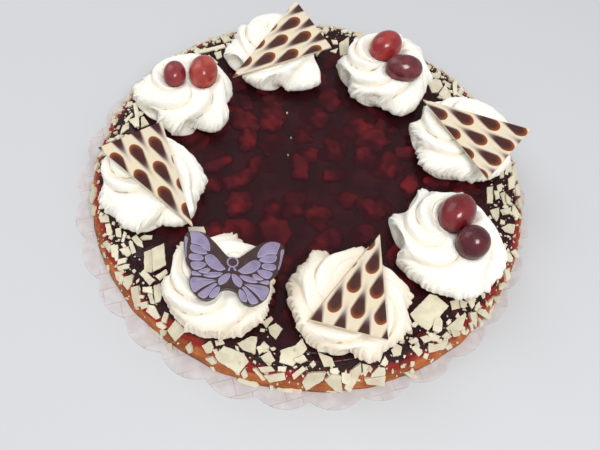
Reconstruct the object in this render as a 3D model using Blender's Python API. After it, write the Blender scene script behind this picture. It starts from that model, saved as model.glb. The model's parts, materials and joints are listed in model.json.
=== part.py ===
"""Cherry tart: a low flan base filled with cherries in red jelly, on its scalloped cake paper.

Eight piped rosettes of whipped cream stand in a ring on the jelly. Four of them carry a
patterned chocolate triangle, three a pair of red grapes and one a chocolate butterfly.
White chocolate flakes lie on the jelly round the ring and on the side of the crust.

Metres, +Z up. The origin is the middle of the cake paper, on the surface that it lies on.
"""

import math
import random
from dataclasses import dataclass

import bmesh
import bpy
from mathutils import Matrix, Vector

MM = 0.001
GAP = 0.3 * MM

# Cake paper: a ring of round scallops that meet in sharp notches.
SCALLOPS = 30
SCALLOP_TURN = math.radians(157.7)
SCALLOP_STEPS = 4
NOTCH_RADIUS = 132.0 * MM
SCALLOP_RADIUS = 136.8 * MM
PAPER_THICKNESS = 0.8 * MM

# Flan base: a low cake with a leaning side, a rounded shoulder and a recess for the filling.
TART_CENTRE = Vector((2.0 * MM, 2.0 * MM, 0.0))
TART_STEPS = 66
FOOT_RADIUS = 128.8 * MM
CREST_RADIUS = 114.0 * MM
RECESS_RADIUS = 108.0 * MM
RECESS_DRAFT = 2.0 * MM
BASE_BOTTOM = PAPER_THICKNESS + GAP
RECESS_FLOOR = 8.0 * MM
CREST_HEIGHT = 15.2 * MM
SIDE_ROUNDNESS = 2.6
SIDE_ANGLES = (90.0, 62.0, 46.0, 33.0, 20.0, 8.0)
CRAG = 0.9 * MM
CRAG_FADE = (80.0, 40.0)

# Jelly: it fills the recess and runs in a thin layer over the crest of the base.
JELLY_RADIUS = 118.5 * MM
JELLY_TOP = 16.5 * MM
JELLY_LIP = 0.9 * MM
JELLY_WAVE = 1.0 * MM
JELLY_SHOULDER_DROP = 0.15 * MM

# Whipped cream: a star nozzle leaves folds that wind inwards.
CREAM_FOOT = JELLY_TOP + GAP
WIDEST_SHARE = 0.30
TUCK_ANGLE = math.radians(128.0)
RING_ANGLES = (13.0, 26.0, 39.0, 52.0, 65.0, 79.0, 95.0, 111.0)
FOLD_STEPS = (0.0, 0.14, 0.34, 0.56, 0.76, 0.90)
FOLD_TWIST = 1.7
TWIST_END = 1.0
FOLD_DEPTH = 5.0 * MM
FOLD_CREST = 0.8
LOBE_BAND = (0.9, 1.45)
SWAY_BAND = (0.5, 1.35)
BULGE = 0.85
CENTRE_DIP = 3.0 * MM
DIP_ANGLE = 0.35
PRESS_GAP = 0.5 * MM
PRESS_SLOPE = 1.2
LEAST_CREAM = 1.5 * MM
SEAT_DEPTH = 0.35
SEAT_SLOPE = 1.0
SEAT_HOLLOW = 0.2

# Chocolate triangles: one long-sided shape, used four times.
PLATE_SIDE = 64.6 * MM
PLATE_BASE = 40.0 * MM
PLATE_THICKNESS = 1.8 * MM

# Chocolate butterfly, from its head: the right half of its outline, in half spans.
BUTTERFLY_HALF_SPAN = 26.0 * MM
BUTTERFLY_THICKNESS = 2.0 * MM
WING_OUTLINE = (
    (0.00, 0.08), (0.12, 0.10), (0.35, 0.33), (0.59, 0.52), (0.78, 0.56), (0.95, 0.50),
    (0.99, 0.31), (0.93, 0.02), (0.86, -0.18), (0.75, -0.31), (0.77, -0.48), (0.72, -0.67),
    (0.56, -0.83), (0.40, -0.88), (0.25, -0.80), (0.15, -0.64), (0.00, -0.59),
)

# Grapes.
GRAPE_SEGMENTS = 16
GRAPE_RINGS = 9

# White chocolate flakes. Those in the tables are measured, in millimetres and degrees: bearing
# and radius, or bearing and level up the base's side, then the corners, each as its distance
# outwards and sideways. Where the cream hides the rest, flakes are strewn by a rule.
FLAKE_THICKNESS = 1.3 * MM
FLAKE_SINK = 0.6 * MM
FLAKE_TUCK = 0.93
WOUND_BEARINGS = (0.0, 6.0, 12.0, 18.0)
FLAKE_LIMIT = 122.0 * MM
FLAKE_TILT = math.radians(5.0)
FLAT_FLAKES_FROM = 111.0 * MM
EDGE_FLAKE_DROP = 0.3 * MM
TOP_FLAKES = (
    (0.2, 106.2, (-1.9, -6.2, 1.6, -5.6, 2.0, 6.6, -1.7, 5.3)),
    (3.4, 112.4, (-1.4, -3.4, 1.2, -1.7, 1.7, 3.5, -1.5, 1.6)),
    (8.3, 115.0, (-1.6, -2.7, 1.0, -1.9, 2.1, 4.5, -1.4, 0.1)),
    (41.8, 118.2, (-3.1, -2.8, 3.6, 0.0, 3.6, 3.5, -4.1, -0.7)),
    (43.9, 109.0, (-5.0, -2.9, 0.6, -5.5, 3.7, 0.7, 4.4, 5.3, -3.7, 2.4)),
    (48.3, 108.6, (-6.5, -2.3, -3.3, -4.7, 3.2, -3.2, 6.0, 1.2, 4.1, 4.9, -3.5, 4.1)),
    (51.3, 115.3, (-2.9, 0.4, -0.5, -2.8, 2.6, -2.0, 2.6, 1.5, -1.9, 3.0)),
    (84.6, 102.7, (-7.1, 1.6, -5.7, -1.4, -2.8, -3.7, 12.1, -0.9, 3.6, 4.4)),
    (88.6, 106.6, (-2.1, 0.9, -1.4, -2.4, 2.2, -1.3, 1.3, 2.7)),
    (131.9, 106.6, (-2.6, 2.7, -2.7, -1.0, 2.2, -3.2, 3.0, 1.6)),
    (132.2, 113.6, (0.6, 8.9, -3.4, -8.4, -0.4, -8.7, 3.2, 8.1)),
    (167.6, 114.3, (-2.0, 5.5, -4.5, 4.4, 2.3, -5.9, 4.1, -3.9)),
    (170.9, 106.4, (-0.3, 4.8, -3.9, 1.0, 1.4, -3.5, 2.7, -2.3)),
    (175.0, 115.0, (1.2, 5.7, -2.3, 0.0, -0.8, -4.4, 1.9, -1.2)),
    (211.5, 116.9, (1.8, 1.8, -0.5, 3.4, -2.3, -2.6, 1.0, -2.6)),
    (216.3, 109.2, (1.3, 2.1, -1.1, 4.7, -2.0, 1.0, -0.8, -4.5, 2.5, -3.3)),
    (217.8, 117.1, (0.9, 3.1, -1.8, 2.3, -2.1, -2.3, 2.9, -3.1)),
    (223.7, 109.5, (5.4, 4.0, 2.0, 6.3, -1.9, 1.8, -5.0, -5.7, -0.6, -6.4)),
    (229.4, 108.4, (3.1, 2.2, -2.9, 1.1, -3.5, -1.5, 3.3, -1.8)),
    (233.0, 116.5, (4.8, 3.3, 2.3, 4.2, -2.1, 1.3, -4.3, -3.8, -0.6, -4.9)),
    (260.4, 114.9, (3.9, -1.6, 4.0, 4.8, -4.9, 2.8, -4.4, -0.2, 1.4, -5.7)),
    (263.5, 100.2, (3.9, 0.0, -1.9, 2.2, -3.2, 0.7, 1.2, -2.9)),
    (264.0, 114.9, (1.2, -2.5, 4.0, -0.8, -1.5, 3.5, -3.8, -0.2)),
    (266.0, 119.6, (2.2, 1.6, 0.1, 3.7, -4.2, 0.0, -0.2, -4.1, 2.2, -1.2)),
    (266.0, 104.4, (2.3, -1.9, 4.8, 1.8, -1.8, 4.0, -4.2, -0.2, -1.1, -3.7)),
    (271.8, 113.8, (6.3, -6.4, 7.5, 0.7, -2.2, 6.9, -7.8, 3.8, -3.7, 1.1, -0.1, -6.1)),
    (280.4, 117.8, (3.2, -1.9, 2.9, 3.7, -1.4, 2.6, -4.7, -4.4)),
    (298.1, 118.9, (2.5, -3.0, 2.9, 1.0, -0.8, 3.4, -3.3, 1.4, -1.2, -2.8)),
    (306.4, 119.5, (1.6, -2.0, 2.1, 2.8, -1.5, 1.6, -2.2, -2.5)),
    (311.8, 107.3, (1.3, -10.3, 8.9, -7.7, 4.2, 11.1, -4.0, 9.5, -6.8, 7.0, -3.7, -9.6)),
    (319.5, 114.0, (0.6, -4.5, 2.7, -0.3, 1.5, 2.7, -1.2, 3.6, -3.6, -1.4)),
    (323.0, 119.3, (1.9, -2.9, 1.6, 0.1, -0.8, 3.6, -2.7, -0.7)),
    (349.6, 119.0, (-2.3, -2.6, 2.0, -2.5, 2.9, -1.8, 2.8, 4.2, -0.6, 3.6, -4.8, -0.8)),
    (353.3, 110.0, (-1.3, -2.4, 1.2, -4.5, 2.1, -0.7, 1.5, 5.6, -3.5, 1.9)),
    (355.3, 116.0, (-1.8, -3.1, 2.8, -0.5, 2.6, 3.7, -3.7, -0.1)),
    (359.7, 114.7, (-0.3, -4.9, 2.1, -3.7, 0.6, 5.3, -2.5, 3.3)),
)
SIDE_FLAKES = (
    (4.3, 53.2, (-2.4, -5.3, 1.9, -3.3, 2.7, 6.6, -2.1, 2.1)),
    (9.7, 54.3, (-4.4, -9.7, 1.5, -3.8, 4.4, 10.9, -1.4, 2.5)),
    (206.0, 69.1, (3.6, 0.7, -1.4, 2.6, -1.4, -1.5, 4.0, -3.6)),
    (209.3, 69.8, (2.2, 2.7, -0.1, 4.1, -1.2, 2.0, -1.2, -3.4, 1.4, -4.3)),
    (213.3, 52.4, (0.6, 4.0, -1.7, 2.2, -1.0, -3.0, 2.1, -3.2)),
    (221.4, 70.5, (4.8, -0.5, -1.0, 1.7, -1.0, -1.0, 4.6, -3.1)),
    (225.0, 54.6, (3.1, -1.1, 2.7, 3.5, -1.4, 2.3, -4.8, -1.0, 0.3, -3.6)),
    (229.3, 48.1, (1.8, -2.0, 4.3, 3.0, 1.6, 5.7, -5.1, -3.1, -1.2, -5.7)),
    (235.2, 52.9, (2.5, -3.2, 1.9, 4.0, -0.4, 5.2, -2.9, -1.5, -1.1, -4.5)),
    (238.6, 61.4, (2.8, -0.4, 2.0, 2.5, -2.7, 0.2, -2.1, -2.2)),
    (242.7, 53.1, (2.7, -4.1, 5.0, 2.6, -3.2, 4.7, -4.5, -3.3)),
    (247.4, 32.2, (2.8, 0.8, 1.0, 2.2, -3.7, -0.7, -0.2, -2.3)),
    (251.7, 57.2, (3.0, 0.1, 1.5, 2.3, -1.3, 2.2, -3.8, -0.7, 0.5, -3.9)),
    (253.3, 31.5, (2.1, 0.9, 0.1, 2.9, -2.4, -0.4, 0.2, -3.4)),
    (257.5, 56.6, (3.9, -5.4, 6.0, 6.2, -1.4, 9.0, -4.5, 5.2, -4.5, -5.7, 1.8, -8.3)),
    (268.6, 41.1, (3.5, -2.7, 0.2, 5.0, -3.7, 3.9, 0.1, -6.2)),
    (273.6, 58.5, (3.8, -2.0, -1.7, 3.5, -3.5, 1.8, 1.4, -3.3)),
    (277.0, 41.1, (5.6, -3.1, -0.6, 5.1, -5.2, 6.3, -4.3, -2.7, 0.9, -5.4)),
    (286.5, 42.8, (5.1, -5.2, 7.8, -2.1, -2.8, 3.9, -7.8, 4.0, -4.2, -1.8)),
    (289.4, 56.3, (2.0, -1.5, 3.2, -0.6, -1.7, 3.3, -3.6, -1.2)),
    (291.6, 22.8, (0.4, -4.7, 6.0, 5.5, -2.8, 5.3, -3.5, -6.1)),
    (303.2, 63.4, (3.2, -0.7, 2.2, 2.2, -2.7, 1.1, -2.6, -2.6)),
    (308.7, 48.0, (0.1, -6.6, 2.7, 2.4, 1.1, 5.1, -0.7, 5.1, -3.2, -6.0)),
    (316.1, 70.7, (0.1, -6.9, 4.5, -2.4, 5.1, -0.5, 0.4, 7.6, -0.9, 7.6, -0.9, -7.0)),
    (324.4, 33.0, (6.0, 1.7, 7.4, 5.0, -2.5, 1.6, -6.4, -1.9, -6.0, -4.8)),
    (330.7, 24.9, (2.6, -1.9, 5.7, 4.5, -0.6, 2.6, -7.4, -5.2)),
    (334.2, 39.3, (1.0, -2.1, 3.5, 3.1, -0.6, 1.7, -3.9, -2.8)),
    (337.5, 42.3, (1.6, -4.1, 3.5, 0.4, -1.3, 3.7, -3.9, 0.0)),
    (341.5, 59.3, (-1.0, -3.2, 3.1, -0.8, 2.8, 1.9, -1.4, 3.7, -3.5, -1.5)),
    (356.3, 65.7, (-1.9, -2.4, 1.5, -4.2, 3.9, -0.9, -0.5, 4.7, -2.2, 3.3)),
)
HIDDEN_BEARINGS = ((14.0, 38.0), (54.0, 82.0), (92.0, 129.0), (136.0, 164.0), (178.0, 206.0))
STREWN_TRIES = 4000
STREWN_SPACING = 0.75
STREWN_ON_TOP = 11
STREWN_TOP_SIZES = (15.0 * MM, 8.0 * MM)
STREWN_TOP_BAND = (94.0 * MM, 117.0 * MM)
STREWN_AT_SIDE = 9
STREWN_SIDE_SIZES = (6.0 * MM, 9.5 * MM)
STREWN_SIDE_BAND = (26.0, 46.0)


@dataclass(frozen=True)
class Rosette:
    """A piped swirl: its place and height, the directions of its notches and its reaches.

    The reaches are measured in millimetres, every ten degrees round its widest part.
    """

    name: str
    x: float
    y: float
    height: float
    notches: tuple
    reaches: tuple

    def reach_at(self, degrees):
        """Return the reach at a bearing, smoothly between the measured ones."""
        index, part = divmod(degrees / 10.0, 1.0)
        a, b, c, d = (self.reaches[(int(index) + step) % 36] for step in (-1, 0, 1, 2))
        bend = (2 * a - 5 * b + 4 * c - d + (3 * b - a - 3 * c + d) * part) * part
        return 0.5 * (2 * b + (c - a + bend) * part) * MM


@dataclass(frozen=True)
class Plate:
    """A flat piece of chocolate: where its reference corner is, and how it is turned."""

    x: float
    y: float
    z: float
    heading: float
    pitch: float
    bank: float


@dataclass(frozen=True)
class Grape:
    """An egg of three half axes, its long one turned by heading and raised by pitch."""

    x: float
    y: float
    z: float
    length: float
    width: float
    heading: float
    pitch: float


ROSETTES = (
    Rosette("rosette_1", -32.0, 84.0, 23.0, (45, 127, 163, 227, 290, 344), (
        23.0, 23.0, 23.0, 23.0, 23.2, 24.5, 27.5, 30.2, 31.7, 32.4, 31.7, 24.4,
        23.1, 24.3, 31.1, 31.5, 29.0, 30.7, 31.3, 33.4, 32.0, 24.4, 24.1, 29.5,
        30.4, 31.5, 30.7, 27.0, 26.3, 29.4, 32.5, 34.8, 36.6, 36.2, 25.1, 23.1,
    )),
    Rosette("rosette_2", 37.5, 80.0, 24.0, (18, 65, 113, 153, 212, 275, 334), (
        30.5, 24.3, 24.1, 29.6, 33.0, 32.2, 33.9, 37.8, 38.1, 33.1, 24.5, 23.8,
        28.1, 31.8, 24.5, 23.8, 27.6, 29.0, 29.3, 27.0, 23.6, 23.7, 27.3, 27.3,
        28.7, 26.4, 26.3, 27.0, 29.3, 34.7, 35.0, 34.4, 32.4, 31.1, 29.4, 29.7,
    )),
    Rosette("rosette_3", 88.0, 36.0, 23.0, (45, 95, 154, 207, 281, 345), (
        28.9, 30.7, 33.0, 31.9, 25.7, 23.3, 23.1, 24.5, 31.1, 24.5, 23.1, 23.6,
        27.0, 28.8, 29.7, 26.7, 28.5, 31.3, 30.1, 30.5, 27.5, 29.6, 32.0, 33.4,
        33.6, 31.9, 30.6, 30.9, 29.6, 30.9, 32.2, 33.2, 33.9, 33.5, 31.4, 30.2,
    )),
    Rosette("rosette_4", 80.5, -39.0, 24.0, (5, 58, 105, 148, 208, 308), (
        30.3, 25.7, 24.0, 25.1, 24.1, 26.2, 31.9, 35.3, 32.2, 27.7, 30.9, 37.5,
        33.9, 24.7, 24.2, 30.4, 33.2, 30.4, 24.5, 23.6, 26.8, 31.0, 30.6, 30.6,
        30.5, 31.4, 31.8, 32.3, 33.5, 34.6, 35.4, 34.6, 34.4, 34.6, 33.8, 33.1,
    )),
    Rosette("rosette_5", 31.5, -84.0, 22.0, (58, 111, 161, 232, 302, 350), (
        29.6, 32.2, 33.5, 28.8, 24.4, 25.4, 30.4, 34.0, 34.5, 32.4, 25.3, 26.0,
        33.6, 36.0, 33.5, 33.7, 34.2, 34.3, 33.1, 31.9, 30.8, 30.5, 31.3, 30.8,
        29.7, 29.3, 28.8, 24.7, 28.3, 32.0, 32.5, 30.3, 31.2, 32.0, 32.3, 32.4,
    )),
    Rosette("rosette_6", -37.5, -86.0, 23.0, (6, 60, 115, 161, 208, 285), (
        28.3, 28.9, 29.9, 30.6, 30.5, 30.7, 30.3, 28.1, 31.6, 31.6, 27.4, 27.5,
        31.0, 32.4, 31.8, 29.4, 24.0, 23.9, 28.4, 29.1, 28.6, 27.1, 26.7, 26.5,
        27.1, 27.6, 28.2, 27.6, 27.8, 27.9, 28.5, 29.3, 29.1, 29.7, 29.6, 27.7,
    )),
    Rosette("rosette_7", -87.0, -26.5, 23.0, (31, 90, 140, 186, 287, 334), (
        30.9, 30.2, 28.6, 28.0, 28.1, 24.4, 23.1, 23.0, 23.0, 23.3, 25.2, 27.5,
        27.8, 27.6, 28.5, 29.3, 29.0, 28.6, 27.7, 25.4, 26.5, 28.5, 30.6, 31.1,
        30.3, 32.2, 33.8, 34.1, 31.8, 28.8, 32.5, 35.4, 35.0, 32.8, 30.2, 29.7,
    )),
    Rosette("rosette_8", -80.0, 38.0, 24.0, (50, 96, 141, 213, 284, 354), (
        24.4, 26.8, 27.0, 26.5, 26.7, 23.9, 24.0, 29.1, 30.4, 30.6, 29.8, 30.2,
        30.2, 24.1, 23.1, 24.0, 29.0, 29.7, 32.8, 32.2, 31.1, 28.5, 23.8, 23.6,
        26.9, 28.1, 30.0, 29.6, 24.1, 23.8, 28.2, 31.8, 32.3, 31.1, 28.3, 24.3,
    )),
)
TRIANGLES = {
    "chocolate_triangle_1": Plate(-55.6, 58.0, 23.0, 39.4, 17.7, 10.0),
    "chocolate_triangle_2": Plate(61.7, 48.9, 38.0, -36.5, 5.2, 14.3),
    "chocolate_triangle_3": Plate(43.4, -43.1, 27.5, -102.0, 5.2, 10.3),
    "chocolate_triangle_4": Plate(-57.0, -55.5, 28.5, 135.0, 15.1, 10.9),
}
BUTTERFLY = Plate(-31.3, -77.7, 37.5, 4.0, -5.8, 0.0)
GRAPES = {
    "grape_1": Grape(-87.3, 40.8, 38.0, 17.0, 13.6, 98.0, 8.0),
    "grape_2": Grape(-71.0, 45.4, 38.5, 21.4, 17.2, 91.0, 10.0),
    "grape_3": Grape(36.7, 89.3, 38.5, 22.5, 18.6, 50.0, 8.0),
    "grape_4": Grape(48.8, 71.7, 39.5, 23.6, 16.8, 5.0, 0.0),
    "grape_5": Grape(83.2, -27.9, 38.0, 24.2, 19.2, 61.0, 5.0),
    "grape_6": Grape(90.6, -46.6, 41.0, 18.9, 18.4, 60.0, 30.0),
}
CARRIED = {
    "rosette_1": ("chocolate_triangle_1",),
    "rosette_2": ("grape_3", "grape_4"),
    "rosette_3": ("chocolate_triangle_2",),
    "rosette_4": ("grape_5", "grape_6"),
    "rosette_5": ("chocolate_triangle_3",),
    "rosette_6": ("butterfly",),
    "rosette_7": ("chocolate_triangle_4",),
    "rosette_8": ("grape_1", "grape_2"),
}

FINISHES = {
    "paper": ((0.78, 0.78, 0.80, 1.0), 0.65),
    "crust": ((0.50, 0.22, 0.07, 1.0), 0.45),
    "jelly": ((0.045, 0.010, 0.014, 1.0), 0.10),
    "cream": ((0.93, 0.91, 0.85, 1.0), 0.50),
    "grape": ((0.16, 0.03, 0.035, 1.0), 0.20),
    "ivory": ((0.86, 0.72, 0.50, 1.0), 0.30),
    "cocoa": ((0.06, 0.03, 0.025, 1.0), 0.35),
}


def clear_scene():
    """Remove whatever the scene holds."""
    for item in list(bpy.data.objects):
        bpy.data.objects.remove(item, do_unlink=True)


def finish(name):
    """Return the named material, made on its first use."""
    if name in bpy.data.materials:
        return bpy.data.materials[name]
    colour, roughness = FINISHES[name]
    material = bpy.data.materials.new(name)
    material.use_nodes = True
    shader = material.node_tree.nodes["Principled BSDF"]
    shader.inputs["Base Color"].default_value = colour
    shader.inputs["Roughness"].default_value = roughness
    shader.inputs["Metallic"].default_value = 0.0
    return material


def add_object(name, mesh, finish_name, smooth_angle=None):
    """Link a mesh to the scene as one named piece."""
    if smooth_angle is not None:
        mesh.shade_smooth()
        mesh.set_sharp_from_angle(angle=math.radians(smooth_angle))
    piece = bpy.data.objects.new(name, mesh)
    bpy.context.scene.collection.objects.link(piece)
    if finish_name:
        mesh.materials.append(finish(finish_name))
    return piece


def mesh_from(name, points, faces):
    """Make a mesh from points and faces."""
    mesh = bpy.data.meshes.new(name)
    mesh.from_pydata([tuple(point) for point in points], [], faces)
    mesh.update()
    return mesh


def split_short(points, upper, lower, upper_next, lower_next):
    """Split a four-sided face into two triangles along its shorter diagonal."""
    falling = (points[upper] - points[lower_next]).length
    rising = (points[lower] - points[upper_next]).length
    if falling < rising:
        return [(upper, lower, lower_next), (upper, lower_next, upper_next)]
    return [(upper, lower, upper_next), (lower, lower_next, upper_next)]


def turned_solid(name, rings, top, bottom):
    """Make a closed solid from equal rings of points, from the top down, with a fan at each end."""
    steps = len(rings[0])
    points = [point for ring in rings for point in ring] + [top, bottom]
    last = (len(rings) - 1) * steps
    faces = []
    for j in range(steps):
        k = (j + 1) % steps
        faces.append((len(points) - 2, j, k))
        faces.append((len(points) - 1, last + k, last + j))
        for above in range(0, last, steps):
            below = above + steps
            faces += split_short(points, above + j, below + j, above + k, below + k)
    return mesh_from(name, points, faces)


def smooth_step(edge_low, edge_high, value):
    """Rise from 0 to 1 between two edges."""
    share = min(max((value - edge_low) / (edge_high - edge_low), 0.0), 1.0)
    return share * share * (3.0 - 2.0 * share)


def prism(name, outline, thickness, place):
    """Make a flat piece from its outline, counter-clockwise, standing on its own plane."""
    count = len(outline)
    lower = [place @ Vector((x, y, 0.0)) for x, y in outline]
    upper = [place @ Vector((x, y, thickness)) for x, y in outline]
    sides = [(i, (i + 1) % count, count + (i + 1) % count, count + i) for i in range(count)]
    caps = [tuple(range(count, 2 * count)), tuple(reversed(range(count)))]
    return mesh_from(name, lower + upper, sides + caps)


# ---------------------------------------------------------------- cake paper


def scallop_outline():
    """Return the paper's outline: one circular arc for each scallop."""
    half_step = math.pi / SCALLOPS
    half_chord = NOTCH_RADIUS * math.sin(half_step)
    rise = SCALLOP_RADIUS - NOTCH_RADIUS * math.cos(half_step)
    arc_radius = (half_chord**2 + rise**2) / (2.0 * rise)
    arc_centre = SCALLOP_RADIUS - arc_radius
    half_arc = math.atan2(half_chord, arc_radius - rise)
    outline = []
    for scallop in range(SCALLOPS):
        middle = SCALLOP_TURN + (2 * scallop + 1) * half_step
        for step in range(SCALLOP_STEPS):
            swing = half_arc * (2.0 * step / SCALLOP_STEPS - 1.0)
            x = arc_centre + arc_radius * math.cos(swing)
            y = arc_radius * math.sin(swing)
            outline.append((x * math.cos(middle) - y * math.sin(middle),
                            x * math.sin(middle) + y * math.cos(middle)))
    return outline


def build_paper():
    """The scalloped paper that the tart comes on."""
    mesh = prism("paper_liner", scallop_outline(), PAPER_THICKNESS, Matrix.Identity(4))
    return add_object("paper_liner", mesh, "paper")


# ---------------------------------------------------------------- flan base and jelly


def crag(angle, level):
    """Return the crust's unevenness at a place on its side, between -1 and 1."""
    waves = math.sin(5 * angle + 1.3) + 0.8 * math.sin(13 * angle + 2.0 * level)
    ripple = math.sin(29 * angle + 5.0 * level) + 0.7 * math.sin(41 * angle - 3.0 * level)
    return (waves + ripple) / 3.5


def tart_ring(radius, height, roughness=0.0, level=0.0):
    """Return one ring of the tart, whose radius follows the crust's crags."""
    ring = []
    for step in range(TART_STEPS):
        angle = 2.0 * math.pi * step / TART_STEPS
        reach = radius + roughness * crag(angle, level)
        offset = Vector((reach * math.cos(angle), reach * math.sin(angle), height))
        ring.append(TART_CENTRE + offset)
    return ring


def base_side(angle):
    """Return radius and height on the base's rounded side, from its foot (0) to its crest."""
    run = math.cos(angle) ** (2.0 / SIDE_ROUNDNESS)
    rise = math.sin(angle) ** (2.0 / SIDE_ROUNDNESS)
    radius = CREST_RADIUS + (FOOT_RADIUS - CREST_RADIUS) * run
    return radius, BASE_BOTTOM + (CREST_HEIGHT - BASE_BOTTOM) * rise


def build_base():
    """The flan base with its recess, and the flakes stuck to its side."""
    rings = [
        tart_ring(RECESS_RADIUS - RECESS_DRAFT, RECESS_FLOOR),
        tart_ring(RECESS_RADIUS, CREST_HEIGHT),
    ]
    for level, degrees in enumerate(SIDE_ANGLES):
        radius, height = base_side(math.radians(degrees))
        rings.append(tart_ring(radius, height, CRAG * smooth_step(*CRAG_FADE, degrees), level))
    rings.append(tart_ring(FOOT_RADIUS, BASE_BOTTOM, CRAG, len(SIDE_ANGLES)))
    top = TART_CENTRE + Vector((0.0, 0.0, RECESS_FLOOR))
    bottom = TART_CENTRE + Vector((0.0, 0.0, BASE_BOTTOM))
    base = add_object("flan_base", turned_solid("flan_base", rings, top, bottom), "crust", 40)
    join_flakes(base, side_flakes())
    return base


def jelly_reach(angle):
    """Return the uneven radius of the jelly's edge."""
    wave = math.sin(4 * angle + 0.7) + 0.8 * math.sin(9 * angle + 2.2) + 0.5 * math.sin(17 * angle)
    return JELLY_RADIUS + JELLY_WAVE * wave / 2.3 - JELLY_WAVE


def jelly_ring(share, height):
    """Return a ring at a share of the way from the recess's wall to the jelly's edge."""
    ring = []
    inner = RECESS_RADIUS - GAP
    for step in range(TART_STEPS):
        angle = 2.0 * math.pi * step / TART_STEPS
        reach = inner + share * (jelly_reach(angle) - inner)
        offset = Vector((reach * math.cos(angle), reach * math.sin(angle), height))
        ring.append(TART_CENTRE + offset)
    return ring


def build_jelly():
    """The cherry filling in its jelly, and the flakes that lie on it."""
    flange = CREST_HEIGHT + GAP
    rings = [
        jelly_ring(0.35, JELLY_TOP),
        jelly_ring(0.80, JELLY_TOP - JELLY_SHOULDER_DROP),
        jelly_ring(1.0, flange + 0.35 * JELLY_LIP),
        jelly_ring(0.98, flange),
        jelly_ring(0.0, flange),
        tart_ring(RECESS_RADIUS - RECESS_DRAFT - 2 * GAP, RECESS_FLOOR + GAP),
    ]
    top = TART_CENTRE + Vector((0.0, 0.0, JELLY_TOP))
    bottom = TART_CENTRE + Vector((0.0, 0.0, RECESS_FLOOR + GAP))
    mesh = turned_solid("cherry_jelly", rings, top, bottom)
    jelly = add_object("cherry_jelly", mesh, "jelly", 40)
    join_flakes(jelly, top_flakes())
    return jelly


# ---------------------------------------------------------------- white chocolate flakes


def measured_outline(numbers):
    """Return a measured flake's corners in metres."""
    return [(x * MM, y * MM) for x, y in zip(numbers[::2], numbers[1::2])]


def strewn_outline(draw, length, width):
    """Return a broken-edged outline of four or five corners."""
    corners = draw.choice((4, 4, 5))
    start = draw.uniform(0.0, 2.0 * math.pi)
    outline = []
    for corner in range(corners):
        angle = start + 2.0 * math.pi * (corner + draw.uniform(-0.18, 0.18)) / corners
        reach = draw.uniform(0.85, 1.15)
        outline.append((0.5 * length * reach * math.cos(angle),
                        0.5 * width * reach * math.sin(angle)))
    return outline


def hidden_bearing(draw):
    """Draw a bearing, in degrees, among those where the cream hides the flakes."""
    share = draw.uniform(0.0, sum(end - start for start, end in HIDDEN_BEARINGS))
    for start, end in HIDDEN_BEARINGS:
        if share <= end - start:
            return start + share
        share -= end - start
    return HIDDEN_BEARINGS[-1][1]


def top_place(draw, outline, bearing, radius):
    """Return the place of a flake that lies on the jelly: level near its edge, else leaning."""
    reach = max(math.hypot(x, y) for x, y in outline)
    near_edge = radius + reach >= FLAT_FLAKES_FROM
    steepest = EDGE_FLAKE_DROP / reach if near_edge else FLAKE_TILT
    axis = draw.uniform(0.0, 2.0 * math.pi)
    lean = Matrix.Rotation(draw.uniform(0.3, 1.0) * steepest, 4,
                           Vector((math.cos(axis), math.sin(axis), 0.0)))
    turn = Matrix.Rotation(math.radians(bearing), 4, "Z")
    place = Matrix.Translation(TART_CENTRE) @ turn @ Matrix.Translation((radius, 0.0, 0.0)) @ lean
    lowest = 0.0 if near_edge else min((place @ Vector((x, y, 0.0))).z for x, y in outline)
    return Matrix.Translation((0.0, 0.0, JELLY_TOP - FLAKE_SINK - lowest)) @ place


def side_place(bearing, level):
    """Return the place of a flake flat on the base's rounded side, sunk a little into it."""
    angle = math.radians(level)
    radius, height = base_side(angle)
    below, above = base_side(angle - 0.1), base_side(angle + 0.1)
    slope = math.atan2(above[1] - below[1], below[0] - above[0])
    return (
        Matrix.Translation(TART_CENTRE)
        @ Matrix.Rotation(math.radians(bearing), 4, "Z")
        @ Matrix.Translation((radius, 0.0, height))
        @ Matrix.Rotation(slope, 4, "Y")
        @ Matrix.Translation((0.0, 0.0, -FLAKE_SINK))
    )


def clear_of_cream(corners):
    """True where a flake's corners pass every rosette, or reach just under its tucked-in edge."""
    for rosette in ROSETTES:
        middle = Vector((rosette.x, rosette.y)) * MM
        for corner in corners:
            away = corner.to_2d() - middle
            bearing = math.degrees(math.atan2(away.y, away.x))
            widest = max(rosette.reach_at(bearing - back) for back in WOUND_BEARINGS)
            if away.length < FLAKE_TUCK * widest:
                return False
    return True


def top_flakes():
    """Return the flakes on the jelly: the measured ones, then strewn ones from large to small."""
    draw = random.Random(11)
    placed = []
    flakes = []
    for bearing, radius, numbers in TOP_FLAKES:
        outline = measured_outline(numbers)
        place = top_place(draw, outline, bearing, radius * MM)
        placed.append((place.translation.copy(), max(math.hypot(x, y) for x, y in outline)))
        flakes.append(prism("flake", outline, FLAKE_THICKNESS, place))
    largest, smallest = STREWN_TOP_SIZES
    strewn = 0
    for _ in range(STREWN_TRIES):
        if strewn == STREWN_ON_TOP:
            break
        length = (largest + (smallest - largest) * strewn / STREWN_ON_TOP) * draw.uniform(0.85, 1.15)
        outline = strewn_outline(draw, length, length * draw.uniform(0.55, 0.95))
        place = top_place(draw, outline, hidden_bearing(draw), draw.uniform(*STREWN_TOP_BAND))
        corners = [place @ Vector((x, y, 0.0)) for x, y in outline]
        furthest = max((corner - TART_CENTRE).to_2d().length for corner in corners)
        here = place.translation
        crowded = any((here - spot).length < STREWN_SPACING * (0.5 * length + size)
                      for spot, size in placed)
        if crowded or furthest > FLAKE_LIMIT or not clear_of_cream(corners + [here]):
            continue
        placed.append((here.copy(), 0.5 * length))
        flakes.append(prism("flake", outline, FLAKE_THICKNESS, place))
        strewn += 1
    return flakes


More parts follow.
